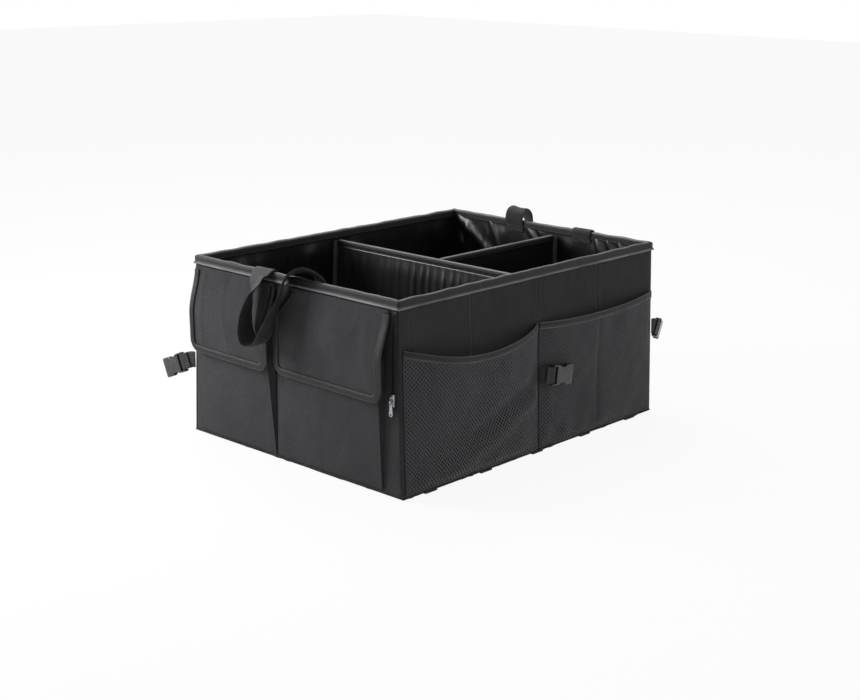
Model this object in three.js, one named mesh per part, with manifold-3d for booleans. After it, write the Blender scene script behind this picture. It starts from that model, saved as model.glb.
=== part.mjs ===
// Collapsible car trunk organizer: a soft open box with stiffened walls, two lidded
// pockets on one end, mesh pockets along one side, dividers, handles and tie-down buckles.
// Millimetres, +Z up. The origin is under the middle of the base, on the floor.
// +X runs along the length, away from the lidded pockets. The mesh pockets face -Y.
import * as THREE from 'three';
import { mergeVertices } from 'three/addons/utils/BufferGeometryUtils.js';
import Module from 'manifold-3d';

const wasm = await Module();
wasm.setup();

// The box
const boxLength = 585;
const boxWidth = 424;
const boxHeight = 280;
const baseSplay = 12;

// Cloth, board and lining that make up every wall
const clothThickness = 1.6;
const boardThickness = 3;
const liningThickness = 1;
const seamGap = 0.3;
const foldGap = 4;
const seamDip = 0.9;
const quarterSeam = 146;
const seamHalf = 5;
const cornerStrip = 22;

// Tapes
const tapeThickness = 1.1;
const rimTapeHeight = 11.5;
const rimCornerRadius = 2;
const hemTapeHeight = 10;

// Strips under the base that grip the carpet
const gripThickness = 2;
const gripWidth = 24;
const gripSpacing = 118;
const gripCount = 5;

// Lidded pockets on the end wall
const pocketMouthDrop = 84;
const pocketFoot = 9;
const pocketFootDepth = 3.4;
const pocketDivideY = 30;
const pocketDivideGap = 4;
const leftPocketInset = 8;
const rightPocketInset = 26;
const leftPocketDepths = [12, 18];
const rightPocketDepths = [8, 15];
const pocketCrown = 2;
const lidThickness = 2.4;
const lidDrop = 2.2;
const lidLength = 128;
const lidStandOff = 1.8;
const lidClearance = 3.4;
const lidCornerRadius = 18;
const lidTapeStart = 5;
const lidNotchWidth = 26;
const lidNotchDrop = 46;
const rightLidInset = 14;
const leftLidInset = 5;
const hookThickness = 1.2;
const hookWidth = 20;
const hookLength = 90;
const hookRise = 16;

// Mesh pockets on the long wall
const meshThickness = 1.2;
const meshTopDrop = 68;
const meshFoot = 7;
const meshDip = [22, 6];
const meshMidDrop = 12;
const meshBulge = [19, 10];
const meshEdge = 5;
const meshMiddle = 3;
const meshSeat = 0.5;
const meshTapeLayer = 0.7;

// Webbing
const webbingThickness = 1.5;
const handleWidth = 38;
const strapWidth = 25;
const strapStub = 24;
const strapLead = 8;
const frontStrapLead = 13;
const strapTail = 12;
const strapRootGap = 0.45;
const leftStrapHeight = 116;
const rightStrapHeight = 143;
const frontStrapHeight = 121;
const handleLift = 4;
const handleTail = 54;
const handleSpread = 108;
const nearHandleLeg = 56;
const nearHandleHang = 96;
const farHandleLeg = 66;
const farHandleHang = 96;
const farHandleSpread = 143;

// Side-release buckle halves
const buckleLength = 45;
const buckleWidth = 31;
const buckleWaist = 24;
const buckleThickness = 9.6;
const buckleWall = 2;
const buckleRound = 1.2;
const buckleBar = 3.6;
const buckleBarHalf = 1.9;
const buckleSlot = 4.6;
const buckleMouthWidth = 21;
const buckleMouthDepth = 29;

// Zip beside the right pocket
const zipInset = 7;
const zipBottom = 134;
const zipTopDrop = 5.5;
const zipTapeWidth = 9;
const zipTapeThickness = 0.8;
const coilWidth = 5.4;
const coilHeight = 1.8;
const coilPitch = 3.2;
const sliderLength = 17;
const sliderWall = 1.2;
const zipTapeSpare = 4;
const coilStep = 0.7;
const eyeHeight = 2.2;
const eyeLength = 4;
const eyeRise = 7.5;
const crownLeg = 1.4;
const crownWall = 1.2;
const crownWidth = 1.6;
const pullThickness = 1.1;
const pullClearance = 0.8;
const pullLength = 22;
const pullWidth = 6.4;

// Dividers
const dividerDrop = 14;
const dividerThickness = 4.4;
const dividerTapeHeight = 9;
const longDividerY = -16;
const gatherCount = 19;
const gatherDepth = 3.2;

const halfLength = boxLength / 2;
const halfWidth = boxWidth / 2;
const wallThickness = clothThickness + boardThickness + liningThickness + 2 * seamGap;
const clothFloor = gripThickness + seamGap;
const boardFloor = clothFloor + clothThickness + seamGap;
const liningFloor = boardFloor + boardThickness + seamGap;
const floorTop = liningFloor + liningThickness;
const wallTop = boxHeight - tapeThickness - seamGap;
const rimTapeFoot = boxHeight - rimTapeHeight;
const boardInset = clothThickness + seamGap;
const liningInset = boardInset + boardThickness + seamGap;
const lidTop = rimTapeFoot - lidDrop;
const pocketMouth = boxHeight - pocketMouthDrop;
const meshTop = boxHeight - meshTopDrop;
const dividerTop = boxHeight - dividerDrop;

const finish = (color, roughness, metalness = 0) =>
  new THREE.MeshStandardMaterial({ color, roughness, metalness });
const oxford = finish(0x303032, 0.85);
const nylon = finish(0x17171a, 0.5);
const board = finish(0x8b8d8c, 0.8);
const tape = finish(0x26262a, 0.7);
const meshCloth = finish(0x1f1f22, 0.8);
const webbing = finish(0x1b1b1d, 0.75);
const plastic = finish(0x3a3a3d, 0.4);
const hookLoop = finish(0x444446, 0.95);
const gunmetal = finish(0x5b5c60, 0.35, 0.9);

const organizer = new THREE.Group();

function addPiece(name, geometry, material) {
  const piece = new THREE.Mesh(geometry, material);
  piece.name = name;
  organizer.add(piece);
  return piece;
}

// Closed meshes and booleans

function closedGeometry(points, faces) {
  let volume = 0;
  for (const [a, b, c] of faces) {
    volume += points[a].dot(points[b].clone().cross(points[c]));
  }
  const outward = volume > 0 ? faces : faces.map(([a, b, c]) => [a, c, b]);
  const geometry = new THREE.BufferGeometry();
  geometry.setAttribute('position', new THREE.Float32BufferAttribute(points.flatMap((p) => p.toArray()), 3));
  geometry.setIndex(outward.flat());
  geometry.computeVertexNormals();
  return geometry;
}

function solidOf(geometry) {
  const bare = geometry.clone();
  bare.deleteAttribute('normal');
  bare.deleteAttribute('uv');
  const merged = mergeVertices(bare, 1e-4);
  return new wasm.Manifold(new wasm.Mesh({
    numProp: 3,
    vertProperties: new Float32Array(merged.attributes.position.array),
    triVerts: new Uint32Array(merged.index.array),
  }));
}

function geometryOf(solid) {
  const mesh = solid.getMesh();
  const geometry = new THREE.BufferGeometry();
  geometry.setAttribute('position', new THREE.BufferAttribute(new Float32Array(mesh.vertProperties), 3));
  geometry.setIndex(new THREE.BufferAttribute(new Uint32Array(mesh.triVerts), 1));
  geometry.computeVertexNormals();
  return geometry;
}

function cut(base, ...tools) {
  const solid = tools.reduce((left, tool) => left.subtract(solidOf(tool)), solidOf(base));
  return geometryOf(solid);
}

function join(base, ...others) {
  const solid = others.reduce((left, other) => left.add(solidOf(other)), solidOf(base));
  return geometryOf(solid);
}

// A block between two corners
function block(x0, x1, y0, y1, z0, z1) {
  const geometry = new THREE.BoxGeometry(Math.abs(x1 - x0), Math.abs(y1 - y0), Math.abs(z1 - z0));
  return geometry.translate((x0 + x1) / 2, (y0 + y1) / 2, (z0 + z1) / 2);
}

// A rounded rectangle about the origin
function roundedRectangle(halfX, halfY, radius) {
  const shape = new THREE.Shape();
  shape.moveTo(halfX - radius, -halfY);
  shape.absarc(halfX - radius, -halfY + radius, radius, -Math.PI / 2, 0);
  shape.absarc(halfX - radius, halfY - radius, radius, 0, Math.PI / 2);
  shape.absarc(-halfX + radius, halfY - radius, radius, Math.PI / 2, Math.PI);
  shape.absarc(-halfX + radius, -halfY + radius, radius, Math.PI, 1.5 * Math.PI);
  shape.closePath();
  return shape;
}

function upright(shape, z0, z1, curveSegments = 2) {
  const geometry = new THREE.ExtrudeGeometry(shape, { depth: z1 - z0, bevelEnabled: false, curveSegments });
  return geometry.translate(0, 0, z0);
}

// The long walls lean out towards the floor
function lean(y, z) {
  return y * (1 + (baseSplay / halfWidth) * (1 - z / boxHeight));
}

function leaned(geometry) {
  const position = geometry.attributes.position;
  for (let i = 0; i < position.count; i += 1) {
    position.setY(i, lean(position.getY(i), position.getZ(i)));
  }
  geometry.computeVertexNormals();
  return geometry;
}

// A sheet with thickness: two grids of points, front and back, closed round the edge
function sheet(columns, rows, front, back) {
  const points = [];
  for (const side of [front, back]) {
    for (const v of rows) {
      for (const u of columns) {
        points.push(side(u, v));
      }
    }
  }
  const wide = columns.length;
  const tall = rows.length;
  const at = (side, row, column) => side * wide * tall + row * wide + column;
  const faces = [];
  const quad = (a, b, c, d) => faces.push([a, b, c], [a, c, d]);
  for (let row = 0; row + 1 < tall; row += 1) {
    for (let column = 0; column + 1 < wide; column += 1) {
      quad(at(0, row, column), at(0, row, column + 1), at(0, row + 1, column + 1), at(0, row + 1, column));
      quad(at(1, row, column), at(1, row + 1, column), at(1, row + 1, column + 1), at(1, row, column + 1));
    }
    quad(at(0, row, 0), at(0, row + 1, 0), at(1, row + 1, 0), at(1, row, 0));
    quad(at(0, row, wide - 1), at(1, row, wide - 1), at(1, row + 1, wide - 1), at(0, row + 1, wide - 1));
  }
  for (let column = 0; column + 1 < wide; column += 1) {
    quad(at(0, 0, column), at(1, 0, column), at(1, 0, column + 1), at(0, 0, column + 1));
    const top = tall - 1;
    quad(at(0, top, column), at(0, top, column + 1), at(1, top, column + 1), at(1, top, column));
  }
  return closedGeometry(points, faces);
}

const yAxis = new THREE.Vector3(0, 1, 0);
const zAxis = new THREE.Vector3(0, 0, 1);
const outX = new THREE.Vector3(-1, 0, 0);

// Sets a shape drawn in x and y onto two directions at a point
function placed(geometry, xDirection, yDirection, origin) {
  const zDirection = xDirection.clone().cross(yDirection);
  return geometry.applyMatrix4(new THREE.Matrix4().makeBasis(xDirection, yDirection, zDirection).setPosition(origin));
}

function evenSteps(from, to, count) {
  return Array.from({ length: count + 1 }, (_, i) => from + ((to - from) * i) / count);
}

const smooth = (t) => {
  const s = Math.min(1, Math.max(0, t));
  return s * s * (3 - 2 * s);
};

// Walls and base

function base() {
  const clothX = halfLength;
  const clothY = halfWidth;
  const cloth = block(-clothX, clothX, -clothY, clothY, clothFloor, clothFloor + clothThickness);
  addPiece('base_cloth', leaned(cloth), oxford);
  const boardX = halfLength - boardInset;
  const boardY = halfWidth - boardInset;
  for (const [name, x0, x1] of [
    ['base_board_pocket_half', -boardX, -foldGap / 2],
    ['base_board_far_half', foldGap / 2, boardX],
  ]) {
    addPiece(name, leaned(block(x0, x1, -boardY, boardY, boardFloor, boardFloor + boardThickness)), board);
  }
  addPiece('base_lining', leaned(block(-boardX, boardX, -boardY, boardY, liningFloor, floorTop)), nylon);
  for (let i = 0; i < gripCount; i += 1) {
    const x = (i - (gripCount - 1) / 2) * gripSpacing;
    const reach = halfWidth + seamGap;
    const strip = block(x - gripWidth / 2, x + gripWidth / 2, -reach, reach, 0, gripThickness);
    addPiece(`grip_strip_${i + 1}`, leaned(strip), hookLoop);
  }
}

// Outline of a long wall's cloth, dipped at each seam
function seamedCloth(side, seams) {
  const outer = side * halfWidth;
  const inner = side * (halfWidth - clothThickness);
  const shape = new THREE.Shape();
  shape.moveTo(-halfLength, inner);
  shape.lineTo(-halfLength, outer);
  for (const seam of seams) {
    shape.lineTo(seam - seamHalf, outer);
    shape.quadraticCurveTo(seam - seamHalf / 8, outer, seam, outer - side * seamDip);
    shape.quadraticCurveTo(seam + seamHalf / 8, outer, seam + seamHalf, outer);
  }
  shape.lineTo(halfLength, outer);
  shape.lineTo(halfLength, inner);
  shape.closePath();
  return shape;
}

function longWall(name, side, seams) {
  const cloth = upright(seamedCloth(side, seams), clothFloor + clothThickness + seamGap, wallTop, 3);
  addPiece(`${name}_cloth`, leaned(cloth), oxford);
  const boardX = halfLength - boardInset;
  const boardOuter = side * (halfWidth - boardInset);
  const boardInner = boardOuter - side * boardThickness;
  const boardBottom = floorTop + seamGap;
  for (const [half, x0, x1] of [
    ['pocket_half', -boardX, -foldGap / 2],
    ['far_half', foldGap / 2, boardX],
  ]) {
    addPiece(`${name}_board_${half}`, leaned(block(x0, x1, boardInner, boardOuter, boardBottom, wallTop)), board);
  }
  const liningOuter = side * (halfWidth - liningInset);
  const liningInner = liningOuter - side * liningThickness;
  const liningX = halfLength - liningInset;
  addPiece(`${name}_lining`, leaned(block(-liningX, liningX, liningInner, liningOuter, boardBottom, wallTop)), nylon);
}

function endWall(name, side) {
  const clothY = halfWidth - clothThickness - seamGap;
  const clothBottom = clothFloor + clothThickness + seamGap;
  const outer = side * halfLength;
  const cloth = block(outer, outer - side * clothThickness, -clothY, clothY, clothBottom, wallTop);
  addPiece(`${name}_cloth`, leaned(cloth), oxford);
  const boardOuter = side * (halfLength - boardInset);
  const boardY = halfWidth - boardInset - boardThickness - seamGap;
  const boardBottom = floorTop + seamGap;
  const endBoard = block(boardOuter, boardOuter - side * boardThickness, -boardY, boardY, boardBottom, wallTop);
  addPiece(`${name}_board`, leaned(endBoard), board);
  const liningOuter = side * (halfLength - liningInset);
  const liningY = halfWidth - liningInset - liningThickness - seamGap;
  const lining = block(liningOuter, liningOuter - side * liningThickness, -liningY, liningY, boardBottom, wallTop);
  addPiece(`${name}_lining`, leaned(lining), nylon);
}

function rimBinding() {
  const over = seamGap + tapeThickness;
  const under = wallThickness + over;
  const ring = roundedRectangle(halfLength + over, halfWidth + over, rimCornerRadius);
  ring.holes.push(roundedRectangle(halfLength - under, halfWidth - under, 1));
  const slot = roundedRectangle(halfLength + seamGap, halfWidth + seamGap, seamGap / 2);
  slot.holes.push(roundedRectangle(halfLength - wallThickness - seamGap, halfWidth - wallThickness - seamGap, 1));
  const folded = cut(
    upright(ring, rimTapeFoot, boxHeight),
    upright(slot, rimTapeFoot - 1, boxHeight - tapeThickness),
  );
  addPiece('rim_binding', leaned(folded), tape);
}

// Lidded pockets on the end wall at -X

const pocketSpan = {
  left: [halfWidth - leftPocketInset, pocketDivideY + pocketDivideGap / 2],
  right: [pocketDivideY - pocketDivideGap / 2, -halfWidth + rightPocketInset],
};
const pocketDepths = { left: leftPocketDepths, right: rightPocketDepths };

// How far the front of a pocket stands off the wall
function pocketDepth(side, y, z) {
  const [start, end] = pocketSpan[side];
  const [startDepth, endDepth] = pocketDepths[side];
  const mouthDepth = startDepth + ((endDepth - startDepth) * (y - start)) / (end - start);
  const rise = Math.min(1, (z - pocketFoot) / (pocketMouth - pocketFoot));
  const crown = pocketCrown * Math.sin(Math.PI * rise) * Math.sin((Math.PI * (y - start)) / (end - start));
  return pocketFootDepth + (mouthDepth - pocketFootDepth) * rise + Math.max(0, crown);
}

// The space between a pocket's front and a plane behind it
function pocketSpace(side, inset, shrink, z0, z1, backX) {
  const [start, end] = pocketSpan[side];
  const step = Math.sign(end - start) * inset;
  const place = (frontOrBack) => (u, v) => {
    const y = start + step + (end - start - 2 * step) * u;
    const z = z0 + (z1 - z0) * v;
    const x = frontOrBack === 'back' ? backX : -halfLength - pocketDepth(side, y, z) + shrink;
    return new THREE.Vector3(x, y, z);
  };
  return sheet(evenSteps(0, 1, 8), evenSteps(0, 1, 6), place('back'), place('front'));
}

function pocketBody(side) {
  const outside = pocketSpace(side, 0, 0, pocketFoot, pocketMouth, -halfLength - seamGap);
  const hollowFoot = pocketFoot + clothThickness;
  const hollow = pocketSpace(side, clothThickness, clothThickness, hollowFoot, pocketMouth + 10, -halfLength + 5);
  addPiece(`pocket_${side}`, cut(outside, hollow), oxford);
}

// How far the inner face of a lid stands off the wall
function lidDepth(side, y, z) {
  const mouth = pocketDepth(side, y, pocketMouth) + lidClearance;
  if (z > pocketMouth) {
    return lidStandOff + (mouth - lidStandOff) * smooth((lidTop - z) / (lidTop - pocketMouth));
  }
  return mouth - 0.45 * (pocketDepth(side, y, pocketMouth) - pocketDepth(side, y, z));
}

const lidSpan = {
  left: [halfWidth - leftLidInset, pocketDivideY],
  right: [pocketDivideY - pocketDivideGap * 2, -halfWidth + rightLidInset],
};

// The sides of a lid at a distance down from its hinge
function lidEdges(side, down, grow) {
  const [start, end] = lidSpan[side];
  const facing = Math.sign(end - start);
  const notch = side === 'right' ? lidNotchWidth * (1 - smooth(down / lidNotchDrop)) : 0;
  const past = Math.max(0, down - (lidLength - lidCornerRadius));
  const radius = lidCornerRadius + grow;
  const tuck = radius - Math.sqrt(Math.max(0, radius * radius - past * past));
  return [start + facing * (notch + tuck - grow), end - facing * (tuck - grow)];
}

function lidRows(grow, from) {
  const marks = [lidTapeStart, ...evenSteps(0, lidLength - lidCornerRadius, 9).slice(1)];
  const straight = [from, ...marks.filter((down) => down > from)];
  const corner = evenSteps(0, Math.PI / 2, 5).slice(1);
  const radius = lidCornerRadius + grow;
  return [...straight, ...corner.map((a) => lidLength - lidCornerRadius + radius * Math.min(Math.sin(a), 0.9995))];
}

function lidSheet(side, grow, from, inward, outward) {
  const place = (offset) => (u, down) => {
    const [start, end] = lidEdges(side, down, grow);
    const y = start + (end - start) * u;
    const z = lidTop - down;
    return new THREE.Vector3(-halfLength - lidDepth(side, y, z) - offset, y, z);
  };
  return sheet(evenSteps(0, 1, 8), lidRows(grow, from), place(-inward), place(lidThickness + outward));
}

function lid(side) {
  addPiece(`lid_${side}`, lidSheet(side, 0, 0, 0, 0), oxford);
  const over = seamGap + tapeThickness;
  const binding = cut(
    lidSheet(side, over, lidTapeStart, over, over),
    lidSheet(side, seamGap, lidTapeStart - 2, seamGap, seamGap),
    lidSheet(side, -hemTapeHeight, lidTapeStart - 3, over + 3, over + 3),
  );
  addPiece(`lid_binding_${side}`, binding, tape);
}

// Hook strip inside the lid and loop strip on the pocket, facing each other
function hookPair(side) {
  const [start, end] = pocketSpan[side];
  const middle = (start + end) / 2;
  const columns = evenSteps(middle - hookLength / 2, middle + hookLength / 2, 6);
  const foot = lidTop - lidLength + hookRise;
  const rows = evenSteps(foot, foot + hookWidth, 3);
  const at = (depth, offset) => (y, z) => new THREE.Vector3(-halfLength - depth(side, y, z) + offset, y, z);
  const hook = sheet(columns, rows, at(lidDepth, seamGap), at(lidDepth, seamGap + hookThickness));
  const loop = sheet(columns, rows, at(pocketDepth, -seamGap), at(pocketDepth, -seamGap - hookThickness));
  addPiece(`lid_hook_strip_${side}`, hook, hookLoop);
  addPiece(`pocket_loop_strip_${side}`, loop, hookLoop);
}

// Mesh pockets on the long wall at -Y

const meshSpan = [
  [-halfLength + meshEdge, -meshMiddle / 2],
  [meshMiddle / 2, halfLength - meshEdge],
];

function meshMouth(index, x) {
  const [x0, x1] = meshSpan[index];
  const t = (x - x0) / (x1 - x0);
  const ends = index === 0 ? meshTop - meshMidDrop * t : meshTop - meshMidDrop + 2 * t;
  return ends - meshDip[index] * Math.sin(Math.PI * t);
}

// How far the mesh stands off the wall: most at the mouth, closed at the sides and foot
function meshDepth(index, x, z) {
  const [x0, x1] = meshSpan[index];
  const t = (x - x0) / (x1 - x0);
  const across = 1 - (2 * t - 1) ** 4;
  const up = (z - meshFoot) / (meshMouth(index, x) - meshFoot);
  const down = 0.35 * Math.sin(Math.PI * Math.min(1, up * 1.6 + 0.12)) * (up < 0.55 ? 1 : 0);
  const seat = meshSeat + (meshTapeLayer + 2 * seamGap) * smooth((up - 0.86) * 10);
  return seat + meshBulge[index] * across * Math.max(down, smooth(up * 1.15)) * smooth(up * 12);
}

function meshPlace(index, offset) {
  return (u, v) => {
    const [x0, x1] = meshSpan[index];
    const x = x0 + (x1 - x0) * u;
    const z = meshFoot + (meshMouth(index, x) - meshFoot) * v;
    const depth = meshDepth(index, x, z);
    return new THREE.Vector3(x, -lean(halfWidth, z) - depth - offset, z);
  };
}

function meshPocket(index) {
  const name = ['near', 'far'][index];
  const columns = evenSteps(0, 1, 18);
  const body = sheet(columns, evenSteps(0, 1, 11), meshPlace(index, 0), meshPlace(index, meshThickness));
  addPiece(`mesh_pocket_${name}`, body, meshCloth);
}

// Tape folded over the mouth of a mesh pocket
function meshTape(index) {
  const name = ['near', 'far'][index];
  const columns = evenSteps(0, 1, 18);
  const around = (inside, outside, drop, rise) => {
    const at = (offset) => (u, v) => {
      const [x0, x1] = meshSpan[index];
      const x = x0 + (x1 - x0) * u;
      const top = meshMouth(index, x);
      const z = top - drop + (drop + rise) * v;
      const depth = meshDepth(index, x, Math.min(z, top));
      return new THREE.Vector3(x, -lean(halfWidth, z) - depth - offset, z);
    };
    return sheet(columns, evenSteps(0, 1, 2), at(inside), at(outside));
  };
  const over = seamGap + meshTapeLayer;
  const outer = around(-over, meshThickness + over, hemTapeHeight, over);
  const slot = around(-seamGap, meshThickness + seamGap, hemTapeHeight + 2, seamGap);
  addPiece(`mesh_tape_${name}`, cut(outer, slot), tape);
}

// Zip beside the right pocket, closed with its slider at the foot

const zipY = -halfWidth + zipInset;
const zipTop = rimTapeFoot - zipTopDrop;
const zipTapeX = -halfLength - seamGap;
const coilX = zipTapeX - zipTapeThickness - seamGap;
const roofX = coilX - coilHeight - seamGap - sliderWall;
const pullAxis = new THREE.Vector3(roofX - eyeHeight / 2, zipY, zipBottom + eyeRise);

function zip() {
  const halfTape = zipTapeWidth / 2;
  const zipTape = block(zipTapeX, zipTapeX - zipTapeThickness, zipY - halfTape, zipY + halfTape,
    zipBottom - zipTapeSpare, zipTop + zipTapeSpare / 2);
  addPiece('zip_tape', zipTape, tape);

  // The coil's outline steps in and out once for every tooth
  const shape = new THREE.Shape();
  const teeth = Math.floor((zipTop - zipBottom) / coilPitch);
  const tip = coilWidth / 2;
  const root = tip - coilStep;
  shape.moveTo(root, 0);
  for (let i = 0; i < teeth; i += 1) {
    const z = i * coilPitch;
    shape.lineTo(tip, z + 0.3 * coilPitch);
    shape.lineTo(tip, z + 0.7 * coilPitch);
    shape.lineTo(root, z + coilPitch);
  }
  for (let i = teeth; i > 0; i -= 1) {
    const z = i * coilPitch;
    shape.lineTo(-root, z);
    shape.lineTo(-tip, z - 0.3 * coilPitch);
    shape.lineTo(-tip, z - 0.7 * coilPitch);
  }
  shape.lineTo(-root, 0);
  shape.closePath();
  const coil = new THREE.ExtrudeGeometry(shape, { depth: coilHeight, bevelEnabled: false });
  addPiece('zip_coil', placed(coil, yAxis, zAxis, new THREE.Vector3(coilX - coilHeight, zipY, zipBottom)), tape);
}

function zipSlider() {
  // Seen along the coil: a roof with two sides that reach down past the teeth
  const inner = coilWidth / 2 + seamGap;
  const outer = inner + sliderWall;
  const roof = coilHeight + seamGap;
  const profile = new THREE.Shape();
  profile.moveTo(inner, 0);
  profile.lineTo(outer, 0);
  profile.lineTo(outer, roof + sliderWall * 0.4);
  profile.lineTo(outer - 0.8, roof + sliderWall);
  profile.lineTo(-outer + 0.8, roof + sliderWall);
  profile.lineTo(-outer, roof + sliderWall * 0.4);
  profile.lineTo(-outer, 0);
  profile.lineTo(-inner, 0);
  profile.lineTo(-inner, roof);
  profile.lineTo(inner, roof);
  profile.closePath();
  const shell = new THREE.ExtrudeGeometry(profile, { depth: sliderLength, bevelEnabled: false });
  placed(shell, yAxis, outX, new THREE.Vector3(coilX, zipY, zipBottom));

  // The crown stands on the roof like a small arch and holds the pull tab in its eye
  const reach = eyeLength / 2 + crownLeg;
  const crown = new THREE.Shape();
  crown.moveTo(-reach, -0.3);
  crown.lineTo(-reach + 0.5, eyeHeight);
  crown.quadraticCurveTo(0, eyeHeight + 2 * crownWall, reach - 0.5, eyeHeight);
  crown.lineTo(reach, -0.3);
  crown.closePath();
  const eye = new THREE.Path();
  eye.moveTo(-eyeLength / 2, 0.05);
  eye.lineTo(eyeLength / 2, 0.05);
  eye.lineTo(eyeLength / 2, eyeHeight);
  eye.lineTo(-eyeLength / 2, eyeHeight);
  eye.closePath();
  crown.holes.push(eye);
  const arch = new THREE.ExtrudeGeometry(crown, { depth: crownWidth, bevelEnabled: false, curveSegments: 6 });
  placed(arch, zAxis, outX, new THREE.Vector3(roofX, zipY + crownWidth / 2, pullAxis.z));
  addPiece('zip_slider', join(shell, arch), gunmetal);
}

function zipPull() {
  const half = pullWidth / 2;
  const bar = pullThickness / 2;
  const outline = new THREE.Shape();
  outline.moveTo(-half + 0.8, -bar);
  outline.lineTo(half - 0.8, -bar);
  outline.lineTo(half, 0.8);
  outline.lineTo(half * 0.72, pullLength * 0.4);
  outline.lineTo(half, pullLength * 0.72);
  outline.absarc(0, pullLength - half, half, 0, Math.PI, false);
  outline.lineTo(-half, pullLength * 0.72);
  outline.lineTo(-half * 0.72, pullLength * 0.4);
  outline.lineTo(-half, 0.8);
  outline.closePath();
  const ring = new THREE.Path();
  const clear = crownWidth / 2 + pullClearance;
  const length = eyeLength / 2 + crownLeg + pullClearance * 2;
  ring.moveTo(-clear, bar);
  ring.lineTo(-clear, length);
  ring.lineTo(clear, length);
  ring.lineTo(clear, bar);
  ring.closePath();
  const tipHole = new THREE.Path();
  tipHole.absarc(0, pullLength - half, half * 0.45, 0, 2 * Math.PI, true);
  outline.holes.push(ring, tipHole);
  const pull = new THREE.ExtrudeGeometry(outline, { depth: pullThickness, bevelEnabled: false, curveSegments: 6 });
  const origin = pullAxis.clone().add(new THREE.Vector3(pullThickness / 2, 0, 0));
  addPiece('zip_pull', placed(pull, yAxis, zAxis.clone().negate(), origin), gunmetal);
}

// Flat webbing that follows a list of stations: centre and the direction of its width

function ribbon(stations, width, thickness, steps) {
  const points = stations.map(([x, y, z]) => new THREE.Vector3(x, y, z));
  const centres = new THREE.CatmullRomCurve3(points, false, 'centripetal');
  const widths = stations.map(([, , , a, b, c]) => new THREE.Vector3(a, b, c).normalize());
  const frameAt = (t) => {
    const span = t * (stations.length - 1);
    const i = Math.min(stations.length - 2, Math.floor(span));
    const across = widths[i].clone().lerp(widths[i + 1], span - i);
    const tangent = centres.getTangent(t);
    across.addScaledVector(tangent, -across.dot(tangent)).normalize();
    return { centre: centres.getPoint(t), across, normal: tangent.clone().cross(across) };
  };
  const place = (offset) => (u, t) => {
    const { centre, across, normal } = frameAt(t);
    return centre.addScaledVector(across, u * width).addScaledVector(normal, offset * thickness);
  };
  return sheet([-0.5, 0.5], evenSteps(0, 1, steps), place(-0.5), place(0.5));
}

// A station of webbing: how far out from the end wall's face, along the wall, how far over the rim,
// then the direction of the webbing's width
const overRim = 6;
const liningFace = -wallThickness - seamGap - webbingThickness / 2;
const rimMiddle = -wallThickness / 2;

// One sewn end, from the lining up and over the rim
function handleLeg(y, outside) {
  return [
    [liningFace, y, -handleTail, 0, 1, 0],
    [liningFace - 0.2, y, -handleTail * 0.63, 0, 1, 0],
    [liningFace - 1.6, y, -handleTail * 0.26, 0, 1, 0],
    [rimMiddle - overRim, y, -2, 0, 1, 0],
    [rimMiddle - overRim * 0.7, y, handleLift * 0.6, 0, 1, 0],
    [rimMiddle, y, handleLift, 0, 1, 0],
    [rimMiddle + overRim * 0.8, y, handleLift * outside, 0, 1, 0],
  ];
}

// The hanging part is written in shares of how far it hangs below the rim
function hanging(legY, hang, rows) {
  return rows.map(([out, y, rise, ...across]) => [out * hang, legY + y * hang, rise * hang, ...across]);
}

function handle(name, side, rows, count) {
  const stations = rows.map(([out, y, rise, ...across]) => [side * (halfLength + out), y, boxHeight + rise, ...across]);
  addPiece(name, ribbon(stations, handleWidth, webbingThickness, count), webbing);
}

// The near handle hangs over the rim between the two lids, turned edge-on to the wall
function nearHandle() {
  const tailY = nearHandleLeg - handleSpread;
  handle('handle_near', -1, [
    ...handleLeg(nearHandleLeg, 0.65),
    ...hanging(nearHandleLeg, nearHandleHang, [
      [0.1, 0.02, -0.06, 0.2, 1, 0],
      [0.18, -0.01, -0.18, 0.5, 0.87, 0],
      [0.31, -0.03, -0.37, 0.85, 0.5, 0],
      [0.41, -0.04, -0.6, 0.94, 0.35, 0],
      [0.45, -0.06, -0.82, 0.94, 0.3, 0],
      [0.46, -0.14, -0.97, 0.95, 0.3, 0],
      [0.465, -0.25, -1, 0.95, 0.3, 0],
      [0.46, -0.35, -0.89, 0.95, 0.3, 0],
      [0.41, -0.41, -0.69, 0.9, 0.4, 0],
      [0.3, -0.43, -0.46, 0.85, 0.5, 0],
      [0.21, -0.47, -0.25, 0.8, 0.6, 0],
      [0.2, -0.54, -0.08, 0.75, 0.66, 0],
      [0.14, -0.64, 0.07, 0.73, 0.68, 0],
      [-0.015, -0.82, 0.155, 0.7, 0.71, 0],
      [-0.145, -0.98, 0.07, 0.5, 0.86, 0],
      [-0.165, -1.06, -0.07, 0.25, 0.97, 0],
      [-0.122, -1.1, -0.25, 0.08, 1, 0],
    ]),
    [liningFace - 0.2, tailY, -handleTail * 0.74, 0, 1, 0],
    [liningFace, tailY, -handleTail * 1.04, 0, 1, 0],
  ], 84);
}

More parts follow.
